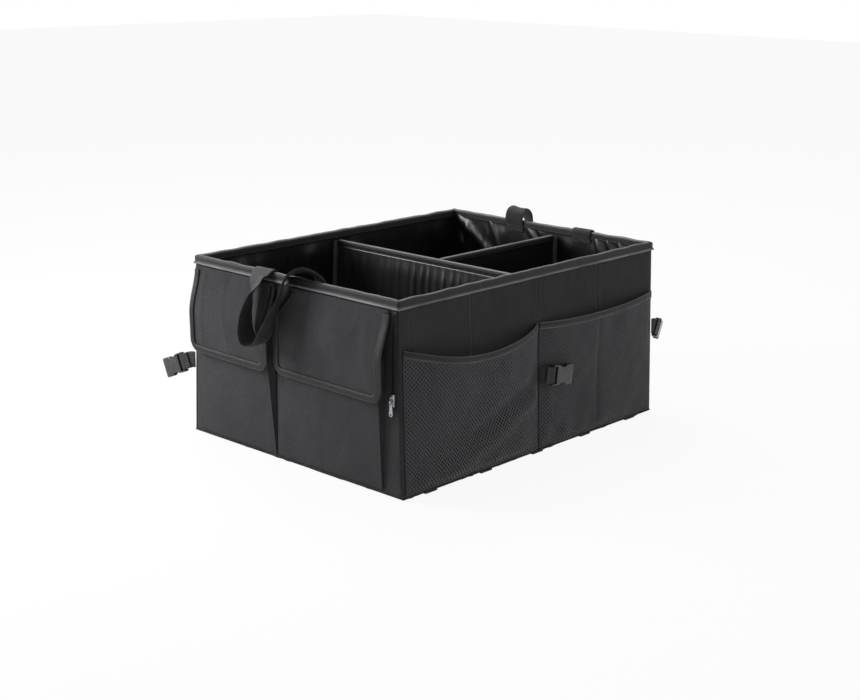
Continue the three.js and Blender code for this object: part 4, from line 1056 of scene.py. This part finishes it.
def ribbonFrames(stations, count):
    points = [Vector(s[:3]) for s in stations]
    wides = [Vector(s[3:]).normalized() for s in stations]
    frames = []
    for t in steps(0, 1, count):
        span = t * (len(stations) - 1)
        i = min(len(stations) - 2, int(span))
        across = wides[i].lerp(wides[i + 1], span - i)
        tangent = (splinePoint(points, min(1, t + 1e-4)) - splinePoint(points, max(0, t - 1e-4))).normalized()
        across = (across - tangent * across.dot(tangent)).normalized()
        frames.append((splinePoint(points, t), across, tangent.cross(across)))
    return frames


def ribbon(name, stations, wide, count, seed, curl=0.5):
    # webbing with rounded edges, a slight cup and wandering edges; its UV map runs along it in metres
    frames = ribbonFrames(stations, count)
    half, thick = wide / 2, webLook["thick"] / 2
    shares = steps(-1, 1, webLook["across"])
    sections, maps = [], []
    run = 0.0
    for n, (centre, across, normal) in enumerate(frames):
        run += (centre - frames[n - 1][0]).length if n else 0.0
        section = []
        for face in (1, -1):
            for a in (shares if face > 0 else shares[::-1]):
                rim = min(1.0, (1 - abs(a)) * half / webLook["edge"])
                full = math.sqrt(max(0.0, rim * (2 - rim)))
                lift = thick * face * (webLook["edgeShare"] + (1 - webLook["edgeShare"]) * full)
                lift += webLook["ribDepth"] * math.sin(a * half * math.pi / webLook["rib"]) * rim
                stray = webLook["stray"] * noise.noise(Vector((run / 9, a * 2, seed)))
                cup = curl * (a * a - 0.35) * math.sin(run / 37 + seed)
                section.append(centre + across * (a * half + stray * abs(a)) + normal * (lift + cup))
                maps.append((a * half * mm, run * mm))
        sections.append(section)
    band = sweep(name, sections, webbing)
    layer = band.data.uv_layers.new(name="along")
    for loop in band.data.loops:
        layer.data[loop.index].uv = maps[loop.vertex_index]
    work = bmesh.new()
    work.from_mesh(band.data)
    if work.calc_volume(signed=True) < 0:
        bmesh.ops.reverse_faces(work, faces=work.faces)
    work.to_mesh(band.data)
    work.free()
    return band, frames


handleLook = {"face": -7.25, "middle": -3.1, "over": 6.0, "lift": 4.0, "hang": 96.0, "nearTail": 54.0,
              "farTail": 18.0, "sewnLift": 0.95, "stitch": (3.0, 2.4, 0.3)}


def handleLeg(y, outside, tail):
    # from the sewn end inside the wall up over the rim: out, along the wall, up and the webbing's own width
    face, middle, over, lift = (handleLook[key] for key in ("face", "middle", "over", "lift"))
    return [(face, y, -tail, 0, 1, 0), (face - 0.2, y, -tail * 0.63, 0, 1, 0),
            (face - 1.6, y, -tail * 0.26, 0, 1, 0), (middle - over, y, -2, 0, 1, 0),
            (middle - over * 0.7, y, lift * 0.6, 0, 1, 0), (middle, y, lift, 0, 1, 0),
            (middle + over * 0.8, y, lift * outside, 0, 1, 0)]


def hanging(leg, rows):
    # the loop outside the wall, in shares of how far it hangs
    hang = handleLook["hang"]
    return [(out * hang, leg + y * hang, rise * hang, *across) for out, y, rise, *across in rows]


def handleStations(side, rows):
    return [(side * (halfLength + out), y, shell["height"] + rise, *across) for out, y, rise, *across in rows]


nearLeg, nearEnd = shell["nearLegs"]
farLeg, farEnd = shell["farLegs"]
nearStations = handleStations(-1, [
    *handleLeg(nearLeg, 0.65, handleLook["nearTail"]),
    *hanging(nearLeg, [
        (0.1, 0.02, -0.06, 0.2, 1, 0), (0.18, -0.01, -0.18, 0.5, 0.87, 0), (0.31, -0.03, -0.37, 0.85, 0.5, 0),
        (0.41, -0.04, -0.6, 0.94, 0.35, 0), (0.45, -0.07, -0.83, 0.96, 0.22, 0), (0.46, -0.17, -0.98, 1, 0.12, 0),
        (0.465, -0.31, -1, 1, 0.05, 0), (0.45, -0.44, -0.9, 1, 0.1, 0.05), (0.4, -0.51, -0.7, 0.95, 0.28, 0.05),
        (0.3, -0.54, -0.46, 0.85, 0.5, 0), (0.21, -0.57, -0.24, 0.78, 0.62, -0.06),
        (0.19, -0.62, -0.07, 0.72, 0.66, -0.18), (0.13, -0.69, 0.07, 0.7, 0.66, -0.3),
        (-0.015, -0.83, 0.145, 0.68, 0.64, -0.42), (-0.145, -0.98, 0.07, 0.55, 0.78, -0.36),
        (-0.165, -1.06, -0.07, 0.25, 0.97, -0.1), (-0.122, -1.1, -0.25, 0.08, 1, 0)]),
    (handleLook["face"] - 0.2, nearEnd, -handleLook["nearTail"] * 0.74, 0, 1, 0),
    (handleLook["face"], nearEnd, -handleLook["nearTail"] * 1.04, 0, 1, 0)])
farStations = handleStations(1, [
    *handleLeg(farLeg, 0, handleLook["farTail"])[:3],
    *hanging(farLeg, [
        (-0.104, 0, 0.04, 0, 1, 0), (-0.078, -0.02, 0.167, 0, 1, 0), (0.005, -0.05, 0.22, 0.1, 1, 0),
        (0.1, -0.094, 0.135, 0.25, 1, 0), (0.151, -0.146, -0.063, 0.5, 0.85, 0),
        (0.203, -0.22, -0.365, 0.85, 0.5, 0),
        (0.234, -0.333, -0.688, 1, 0.1, 0), (0.245, -0.542, -0.927, 1, 0, 0), (0.245, -0.813, -1, 1, 0, 0),
        (0.24, -1.083, -0.906, 1, 0, 0), (0.224, -1.292, -0.667, 1, 0.1, 0), (0.172, -1.417, -0.365, 0.75, 0.65, 0),
        (0.089, -1.479, -0.125, 0.3, 0.95, 0)]),
    (handleLook["middle"] + handleLook["over"] * 1.15, farEnd, -3, 0.05, 1, 0),
    (handleLook["middle"] + handleLook["over"] * 0.75, farEnd, handleLook["lift"] * 0.6, 0, 1, 0),
    *handleLeg(farEnd, 0, handleLook["farTail"])[:6][::-1]])


def boxStitch(frames, start, end, wide, lift):
    # a sewn box with a cross, on the face of a ribbon between two stations
    half = wide / 2 - 3.5

    def spot(along, across):
        index = start + (end - start) * along
        low = int(index)
        high = min(low + 1, len(frames) - 1)
        centre = frames[low][0].lerp(frames[high][0], index - low)
        return tuple(centre + frames[low][1] * across * half + frames[low][2] * lift)

    return [[spot(t, -1) for t in steps(0, 1, 12)], [spot(t, 1) for t in steps(0, 1, 12)],
            [spot(0, a) for a in steps(-1, 1, 8)], [spot(1, a) for a in steps(-1, 1, 8)],
            [spot(t, 2 * t - 1) for t in steps(0, 1, 16)], [spot(t, 1 - 2 * t) for t in steps(0, 1, 16)]]


nearBand, nearFrames = ribbon("handleNear", nearStations, webLook["handleWide"], 230, 1.7)
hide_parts("handle_near")
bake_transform(nearBand)
farBand, farFrames = ribbon("handleFar", farStations, webLook["handleWide"], 210, 6.3)
place(farBand, root, ["handle_far"])
sewn = []
for frames, spans in ((nearFrames, ((1, 14), (217, 229))), (farFrames, ((1, 13), (197, 209)))):
    for start, end in spans:
        for lift in (handleLook["sewnLift"], -handleLook["sewnLift"]):
            sewn += boxStitch(frames, start, end, webLook["handleWide"], lift)
place(stitches("handleStitches", sewn, handleLook["stitch"]), root)
print("handles made")

# buckles on their straps

buckleLook = {"long": 45.0, "wide": 31.0, "waist": 24.0, "thick": 9.6, "round": 1.3, "wall": 2.0, "bar": 3.6,
              "barHalf": 1.9, "slot": 4.6, "mouthWide": 21.0, "mouthDeep": 29.0, "stub": 24.0, "tail": 12.0}


def blockMesh(x0, x1, y0, y1, z0, z1):
    points = [(x, y, z) for x in (x0, x1) for y in (y0, y1) for z in (z0, z1)]
    faces = [(0, 1, 3, 2), (4, 6, 7, 5), (0, 4, 5, 1), (2, 3, 7, 6), (0, 2, 6, 4), (1, 5, 7, 3)]
    return makeMesh("cutter", points, faces, acetal, flat=True)


def quadratic(a, b, c, count):
    return [tuple(a[i] * (1 - t) ** 2 + 2 * b[i] * t * (1 - t) + c[i] * t * t for i in (0, 1))
            for t in steps(0, 1, count)[1:]]


def buckleShell():
    long, half, waist = buckleLook["long"], buckleLook["wide"] / 2, buckleLook["waist"] / 2
    upper = [(1.8, half), (long * 0.2, half)]
    upper += quadratic((long * 0.2, half), (long * 0.34, half), (long * 0.42, waist), 8)
    upper += [(long * 0.58, waist)]
    upper += quadratic((long * 0.58, waist), (long * 0.66, half), (long * 0.8, half), 8)
    upper += [(long - 3, half)]
    upper += quadratic((long - 3, half), (long, half), (long, half - 3), 6)
    line = upper + [(x, -y) for x, y in upper[::-1]]
    line += [(0.5, -half + 0.6), (0, -half + 1.8), (0, half - 1.8), (0.5, half - 0.6)]
    thick = buckleLook["thick"] / 2
    points = [(x, y, -thick) for x, y in line] + [(x, y, thick) for x, y in line]
    count = len(line)
    faces = [tuple(range(count)), tuple(range(count, 2 * count))]
    faces += [(i, (i + 1) % count, count + (i + 1) % count, count + i) for i in range(count)]
    body = faceOutward(makeMesh("buckleShell", points, faces, acetal))
    softEdges(body, buckleLook["round"], 3, 55)
    slotHalf = webLook["strapWide"] / 2 + 0.7
    bar, deep = buckleLook["bar"], long - buckleLook["mouthDeep"]
    inner, mouth = thick - buckleLook["wall"], buckleLook["mouthWide"] / 2
    for corners in ((bar, bar + buckleLook["slot"], -slotHalf, slotHalf, -20, 20),
                    (-2, bar + 1, -slotHalf, slotHalf, buckleLook["barHalf"], 20),
                    (-2, bar + 1, -slotHalf, slotHalf, -20, -buckleLook["barHalf"]),
                    (deep, long + 5, -mouth, mouth, -inner, inner),
                    (deep + 3, long * 0.76, -30, 30, -inner, inner)):
        tool = faceOutward(blockMesh(*corners))
        cut = body.modifiers.new("cut", "BOOLEAN")
        cut.operation = "DIFFERENCE"
        cut.solver = "EXACT"
        cut.object = tool
        settle(body)
        bpy.data.objects.remove(tool)
    return softEdges(body, 0.3, 2, 50)


shellMesh = buckleShell()


def strapPiece(label, base, heading, lead, pointing, facing, seed):
    along, out = Vector(pointing).normalized(), Vector(facing)
    heading, base = Vector(heading).normalized(), Vector(base)
    out = (out - along * out.dot(along)).normalized()
    wide = out.cross(along)
    bar = base + heading * lead + along * (buckleLook["stub"] - lead)
    basis = Matrix((along, wide, out)).transposed().to_4x4()
    basis.translation = bar * mm
    mesh = shellMesh.data.copy()
    mesh.transform(basis)
    buckle = bpy.data.objects.new("buckle" + label, mesh)
    bpy.context.scene.collection.objects.link(buckle)
    place(buckle, root, ["buckle_" + label.lower()])
    layer = webLook["thick"] / 2 + shell["seam"] / 2
    middle = buckleLook["bar"] / 2
    wrap = math.hypot(middle, buckleLook["barHalf"]) + shell["seam"] + webLook["thick"] / 2
    local = [(-7, -layer - 0.4)] + [(middle + wrap * math.cos(a), wrap * math.sin(a)) for a in steps(-1.9, 1.9, 8)]
    local += [(-7, layer + 0.4), (-buckleLook["tail"], layer)]
    stations = [(*(bar + along * x + out * z), *wide) for x, z in local]
    early = base + heading * lead * 0.6 - out * layer
    face = Vector(facing)
    sewnWide = (face - heading * face.dot(heading)).cross(heading).normalized()
    stations = [(*base, *sewnWide), (*early, *sewnWide.lerp(wide, 0.4))] + stations
    band, _ = ribbon("strap" + label, stations, webLook["strapWide"], 90, seed, 0.0)
    place(band, root, ["strap_" + label.lower()])


cornerOut = halfLength + 0.45
for label, base, heading, lead, pointing, facing, seed in (
    ("Left", (-cornerOut, lean(halfWidth, 116) + 0.45, 116), (-0.45, 0.89, 0), 8,
     (-0.04, 0.9, -0.4), (-1, 0, 0), 2.0),
    ("Right", (cornerOut, -lean(halfWidth, 143) - 0.45, 143), (0.89, -0.45, 0), 8,
     (0.8, 0.46, -0.34), (0, -1, 0), 5.0),
    ("Front", (0.2, -lean(halfWidth, 121) - 1.5, 121), (0.45, -0.89, 0), 13,
     (1, -0.03, -0.13), (0, -1, 0), 8.0),
):
    strapPiece(label, base, heading, lead, pointing, facing, seed)
bpy.data.objects.remove(shellMesh)
print("straps and buckles made")

# zip

zipLook = {"y": -205.0, "bottom": 134.0, "top": 263.0, "tapeWide": 10.0, "pitch": 1.5, "halfWide": 2.45,
           "rise": 1.5, "wire": 0.42, "coilX": -293.95, "faceX": -293.6, "backX": -292.9, "stitchX": -293.75,
           "stitchOff": 3.9, "stitch": (2.6, 2.1, 0.25)}


def toothTree():
    # a bent wire on every point: the coil of a closed zip
    tree, given = openTree("zipCoil", {"Half Width": 0.0024, "Rise": 0.0015, "Wire Radius": 0.0004}, "Wire")
    other = addNode(tree, "ShaderNodeMath", {"operation": "MULTIPLY", 1: -1.0}, {0: given["Half Width"]})
    out = addNode(tree, "ShaderNodeMath", {"operation": "MULTIPLY", 1: -2.0}, {0: given["Rise"]})
    first = addNode(tree, "ShaderNodeCombineXYZ", {}, {"Y": given["Half Width"]})
    second = addNode(tree, "ShaderNodeCombineXYZ", {}, {"X": out.outputs[0]})
    third = addNode(tree, "ShaderNodeCombineXYZ", {}, {"Y": other.outputs[0]})
    arch = addNode(tree, "GeometryNodeCurveQuadraticBezier", {"Resolution": 8},
                   {"Start": first.outputs[0], "Middle": second.outputs[0], "End": third.outputs[0]})
    ring = addNode(tree, "GeometryNodeCurvePrimitiveCircle", {"Resolution": 6}, {"Radius": given["Wire Radius"]})
    tooth = addNode(tree, "GeometryNodeCurveToMesh", {"Fill Caps": True},
                    {"Curve": arch.outputs["Curve"], "Profile Curve": ring.outputs["Curve"]})
    asPoints = addNode(tree, "GeometryNodeMeshToPoints", {}, {"Mesh": given["Geometry"]})
    spread = addNode(tree, "GeometryNodeInstanceOnPoints", {},
                     {"Points": asPoints.outputs["Points"], "Instance": tooth.outputs["Mesh"]})
    return closeTree(tree, spread.outputs["Instances"], given["Wire"])


count = round((zipLook["top"] - zipLook["bottom"]) / zipLook["pitch"])
teeth = [(zipLook["coilX"], zipLook["y"], z) for z in steps(zipLook["bottom"] + 1, zipLook["top"] - 1, count)]
coil = makeMesh("zipCoil", teeth, [], tape)
applyTree(coil, toothTree(), {"Half Width": zipLook["halfWide"] * mm, "Rise": zipLook["rise"] * mm / 1.2,
                              "Wire Radius": zipLook["wire"] * mm, "Wire": tape})
place(faceOutward(coil), root, ["zip_coil"])
halfTape = zipLook["tapeWide"] / 2
zipTape = closedSheet("zipTape", steps(zipLook["y"] - halfTape, zipLook["y"] + halfTape, 10),
                      steps(zipLook["bottom"] - 4, zipLook["top"] + 2, 60),
                      lambda y, z: (zipLook["faceX"] + 0.15 * math.cos((y - zipLook["y"]) * 2.2), y, z),
                      lambda y, z: (zipLook["backX"], y, z), tape)
place(zipTape, root, ["zip_tape"])
zipEdge = [[(zipLook["stitchX"], zipLook["y"] + off, z) for z in steps(zipLook["bottom"] - 3, zipLook["top"], 60)]
           for off in (-zipLook["stitchOff"], zipLook["stitchOff"])]
place(stitches("zipStitches", zipEdge, zipLook["stitch"]), root)

# dividers

dividerLook = {"top": 266.0, "thick": 4.4, "foot": 8.9, "tapeTall": 9.0, "tapeThick": 1.1, "crossReach": 203.0,
               "longY": -16.0, "longX": (4.0, 284.5), "gathers": 24, "gatherDepth": 3.3,
               "tapeWear": {3: 0.5, 4: 0.9, 5: 0.5}, "stitchZ": 258.6, "stitchOff": 3.75,
               "stitch": (3.6, 2.8, 0.3)}


def dividerPanel(name, alongX, reach, seed):
    # board covered in lining cloth, with shallow creases; face and back are the same cloth
    half = dividerLook["thick"] / 2
    top = dividerLook["top"] - dividerLook["tapeThick"] - 0.3

    def side(sign):
        def spot(a, z):
            edge = smooth(min(abs(a - reach[0]), abs(a - reach[1])) / 10)
            edge = edge * smooth((z - 10) / 14) * smooth((252 - z) / 10)
            swell = edge * (0.35 + ripple(a, z, seed + sign, 46, 0.7) + ripple(a, z, seed + sign * 2, 17, 0.3))
            depth = sign * (half + max(-0.25, min(0.9, swell)))
            return (a, dividerLook["longY"] + depth, z) if alongX else (depth, lean(a, z), z)
        return spot

    return closedSheet(name, steps(reach[0], reach[1], 76), steps(dividerLook["foot"], top, 48), side(1), side(-1),
                       lining)


def dividerBinding(name, alongX, reach):
    half, thick, tall = dividerLook["thick"] / 2 + 0.3, dividerLook["tapeThick"], dividerLook["tapeTall"]
    top = dividerLook["top"]
    profile = [(-half - thick, -tall), (-half - thick - 0.15, -tall / 2), (-half - thick, -1.2),
               (-half - 0.3, -0.15), (0, 0.05), (half + 0.3, -0.15), (half + thick, -1.2),
               (half + thick + 0.15, -tall / 2), (half + thick, -tall), (half, -tall + 0.2), (half, -thick),
               (-half, -thick), (-half, -tall + 0.2)]
    sections = []
    for a in steps(reach[0], reach[1], 130):
        sway = 0.5 * noise.noise(Vector((a / 15, 3.3, 0.1)))
        section = []
        for off, drop in profile:
            z = top + drop + 0.35 * noise.noise(Vector((a / 11, off, 9))) * (1 if drop < -1 else 0)
            off += sway * 0.35
            section.append((a, dividerLook["longY"] + off, z) if alongX else (off, lean(a, z), z))
        sections.append(section)
    # the top of the binding gets a painted highlight in the tape's colour
    return markPaintedHighlight(faceOutward(sweep(name, sections, tape)), len(profile), dividerLook["tapeWear"])


crossWide = dividerLook["crossReach"]
cross = dividerPanel("crossDivider", False, (-crossWide, crossWide), 3.0)
place(cross, root, ["cross_divider"])
crossBinding = place(dividerBinding("crossDividerBinding", False, (-crossWide, crossWide)), root,
                     ["cross_divider_binding"])
longSpan = dividerLook["longX"]
longPanel = dividerPanel("longDivider", True, longSpan, 8.0)
place(longPanel, root, ["long_divider"])
longBinding = place(dividerBinding("longDividerBinding", True, (longSpan[0] + 2, longSpan[1])), root,
                    ["long_divider_binding"])


def gather(a, z):
    # pleats crowd towards the mesh wall; they are deep under the binding and die out lower down
    u = (crossWide - 2 - a) / (2 * crossWide - 4)
    crowd = max(0.0, min(1.0, u)) ** 1.2
    v = smooth((z - 30) / 200)
    phase = 2 * math.pi * dividerLook["gathers"] * crowd + 1.1 * noise.noise(Vector((a / 30, z / 70, 2.2)))
    swing = 0.5 - 0.5 * math.cos(phase)
    fall = 0.2 + 0.8 * v ** 0.8
    size = 0.65 + 0.3 * math.sin(2.1 + 11 * u) + 0.3 * noise.noise(Vector((a / 19, z / 60, 7.7)))
    loose = 0.5 + 0.5 * math.sin(a / 17 + z / 65 + 2.2 * noise.noise(Vector((a / 50, z / 80, 1))))
    drape = mix(2.2, 0.9, v) * loose ** 1.5
    tuck = mix(0.12, 1.0, smooth((256.8 - z) / 30))
    drape += 0.9 * (0.5 + 0.5 * math.cos(2 * math.pi * 61 * crowd)) * math.exp(-(250 - z) / 22)
    return (0.1 + min(4.4, dividerLook["gatherDepth"] * fall * swing * max(0.1, size) + drape)) * tuck


coverFace = -dividerLook["thick"] / 2 - 0.3
cover = closedSheet("crossDividerCover", steps(-crossWide + 2, crossWide - 2, 300),
                    steps(12, 232, 36) + steps(232, 256.8, 12)[1:],
                    lambda a, z: (coverFace - 1.0 - gather(a, z), lean(a, z), z),
                    lambda a, z: (coverFace - 0.95 * min(1.0, gather(a, z)), lean(a, z), z), gathered)
place(cover, root, ["cross_divider_cover"])
tapeRows = []
for off in (-dividerLook["stitchOff"], dividerLook["stitchOff"]):
    tapeRows.append([(off, lean(a, dividerLook["stitchZ"]), dividerLook["stitchZ"])
                     for a in steps(-crossWide, crossWide, 90)])
    tapeRows.append([(a, dividerLook["longY"] + off, dividerLook["stitchZ"])
                     for a in steps(longSpan[0] + 3, longSpan[1], 70)])
place(stitches("dividerStitches", tapeRows, dividerLook["stitch"]), root)
print("dividers made")

# grip strips and loop strips

gripLook = {"wide": 24.0, "spacing": 118.0, "thick": 2.0, "reach": 212.3, "count": 5}
for i in range(gripLook["count"]):
    x = (i - 2) * gripLook["spacing"]
    xs = steps(x - gripLook["wide"] / 2, x + gripLook["wide"] / 2, 14)
    ys = steps(-gripLook["reach"], gripLook["reach"], 230)
    strip = closedSheet("gripStrip%d" % (i + 1), xs, ys,
                        lambda a, y: (a, lean(y, 0), 0.35 * abs(noise.noise(Vector((a / 1.5, y / 1.5, i))))),
                        lambda a, y: (a, lean(y, 0), gripLook["thick"]), hookLoop)
    place(strip, root, ["grip_strip_%d" % (i + 1)])

# the loop strips that hold the dividers; all but the one on the cross divider end just under the rim tape
loopLook = {"foot": 10.5, "top": 264.5, "crossTop": 256.0, "half": 10.0, "nap": 0.3, "sideFace": 205.5,
            "sideBack": 204.4, "farX": 286.0, "crossX": 2.6}
for name, node, side, lined in (("loopStripMeshSide", "loop_strip_mesh_side", -1, "meshSideLining"),
                                ("loopStripPlainSide", "loop_strip_plain_side", 1, "plainSideLining")):
    strip = fuzzySheet(name, steps(-loopLook["half"], loopLook["half"], 14),
                       steps(loopLook["foot"], loopLook["top"], 120),
                       lambda a, z: (a, lean(loopLook["sideFace"] * side, z), z),
                       lambda a, z: (a, lean(loopLook["sideBack"] * side, z), z), loopLook["nap"], 2.0)
    place(strip, root, [node])
middle = dividerLook["longY"]
for name, node, x, out, top, backed in (
    ("loopStripFarEnd", "loop_strip_far_end", loopLook["farX"], -1.1, loopLook["top"], "farEndLining"),
    ("loopStripCrossDivider", "loop_strip_cross_divider", loopLook["crossX"], 1.0, loopLook["crossTop"],
     "crossDivider"),
):
    strip = fuzzySheet(name, steps(middle - loopLook["half"], middle + loopLook["half"], 14),
                       steps(loopLook["foot"], top, 120), lambda y, z: (x, y, z), lambda y, z: (x + out, y, z),
                       loopLook["nap"], 3.0)
    place(strip, root, [node])

# the hidden boards and the zip's metal keep their shapes from the part
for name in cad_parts:
    part = bpy.data.objects.get(name)
    if part is None or part.type != "MESH":
        continue
    chosen = fluted if "board" in name else gunmetal if name in ("zip_slider", "zip_pull") else None
    if chosen:
        for materialSlot in part.material_slots:
            materialSlot.material = chosen
print("strips made")

# camera, light, floor

view = {"azimuth": -47.44, "elevation": 15.19, "roll": 0.66, "distance": 2422.0, "focal": 1536.0,
        "pictureWide": 860, "sensor": 36, "side": 0.8, "rise": -22.1, "aimZ": 140.0}


def setCamera():
    az, el, roll = (math.radians(view[k]) for k in ("azimuth", "elevation", "roll"))
    back = Vector((math.sin(az) * math.cos(el), -math.cos(az) * math.cos(el), math.sin(el)))
    right = Vector((0, 0, 1)).cross(back).normalized()
    up = back.cross(right)
    rolled = right * math.cos(roll) + up * math.sin(roll)
    upright = up * math.cos(roll) - right * math.sin(roll)
    data = bpy.data.cameras.new("photoCamera")
    data.sensor_fit = "HORIZONTAL"
    data.sensor_width = view["sensor"]
    data.lens = view["sensor"] * view["focal"] / view["pictureWide"]
    data.clip_end = 50
    camera = bpy.data.objects.new("photoCamera", data)
    bpy.context.scene.collection.objects.link(camera)
    eye = Vector((0, 0, view["aimZ"])) + back * view["distance"] + rolled * view["side"] + upright * view["rise"]
    basis = Matrix((rolled, upright, back)).transposed().to_4x4()
    camera.matrix_world = Matrix.Translation(eye * mm) @ basis
    bpy.context.scene.camera = camera


setCamera()

light = {
    "world": 0.38,
    # each lamp: where it hangs, its size, its power in watts and what it points at, in metres
    "keyLamp": ((-0.88, 0.94, 0.72), (0.6, 0.6), 16.0, (-0.3, 0.08, 0.16)),
    "fillLamp": ((0.6, -2.6, 1.3), (1.8, 1.4), 2.5, (0, 0, 0.12)),
    "topLamp": ((0.6, 1.2, 2.2), (1.4, 1.4), 28.0, (0, 0, 0.12)),
}


def lamp(name, where, size, power, aim):
    data = bpy.data.lights.new(name, "AREA")
    data.shape = "RECTANGLE"
    data.size, data.size_y = size
    data.energy = power
    thing = bpy.data.objects.new(name, data)
    bpy.context.scene.collection.objects.link(thing)
    thing.location = where
    thing.rotation_euler = (Vector(aim) - Vector(where)).to_track_quat("-Z", "Y").to_euler()


for name in ("keyLamp", "fillLamp", "topLamp"):
    lamp(name, *light[name])

world = bpy.data.worlds.new("studio")
bpy.context.scene.world = world
world.use_nodes = True
sky = world.node_tree
sky.nodes.clear()


def showsWhite(tree):
    # 1 for the rays that should meet a plain white surround
    seen = addNode(tree, "ShaderNodeLightPath").outputs
    sharp = addNode(tree, "ShaderNodeMath", {"operation": "MAXIMUM"},
                    {0: seen["Is Glossy Ray"], 1: seen["Is Transmission Ray"]})
    return addNode(tree, "ShaderNodeMath", {"operation": "MAXIMUM"},
                   {0: seen["Is Camera Ray"], 1: sharp.outputs[0]})


asCamera = showsWhite(sky)
plain = addNode(sky, "ShaderNodeBackground", {"Color": (1, 1, 1, 1), "Strength": light["world"]})
white = addNode(sky, "ShaderNodeBackground", {"Color": (1, 1, 1, 1), "Strength": 1.0})
shown = addNode(sky, "ShaderNodeMixShader", {}, {0: asCamera.outputs[0], 1: plain.outputs[0], 2: white.outputs[0]})
addNode(sky, "ShaderNodeOutputWorld", {}, {"Surface": shown.outputs[0]})

floorPaint = bpy.data.materials.new("palePaper")
floorPaint.use_nodes = True
paint = floorPaint.node_tree
paint.nodes.clear()
rays = showsWhite(paint)
matt = addNode(paint, "ShaderNodeBsdfDiffuse", {"Color": (0.93, 0.93, 0.93, 1)})
glow = addNode(paint, "ShaderNodeEmission", {"Color": (1, 1, 1, 1), "Strength": 1.0})
share = addNode(paint, "ShaderNodeMath", {"operation": "MULTIPLY", 1: 0.92}, {0: rays.outputs[0]})
both = addNode(paint, "ShaderNodeMixShader", {}, {0: share.outputs[0], 1: matt.outputs[0], 2: glow.outputs[0]})
addNode(paint, "ShaderNodeOutputMaterial", {}, {"Surface": both.outputs[0]})
far, low = 9000, -0.1
floor = makeMesh("paleFloor", [(-far, -far, low), (far, -far, low), (far, far, low), (-far, far, low)],
                 [(0, 1, 2, 3)], floorPaint, flat=True)
bpy.context.scene.view_settings.view_transform = "Standard"
print("camera and light set")
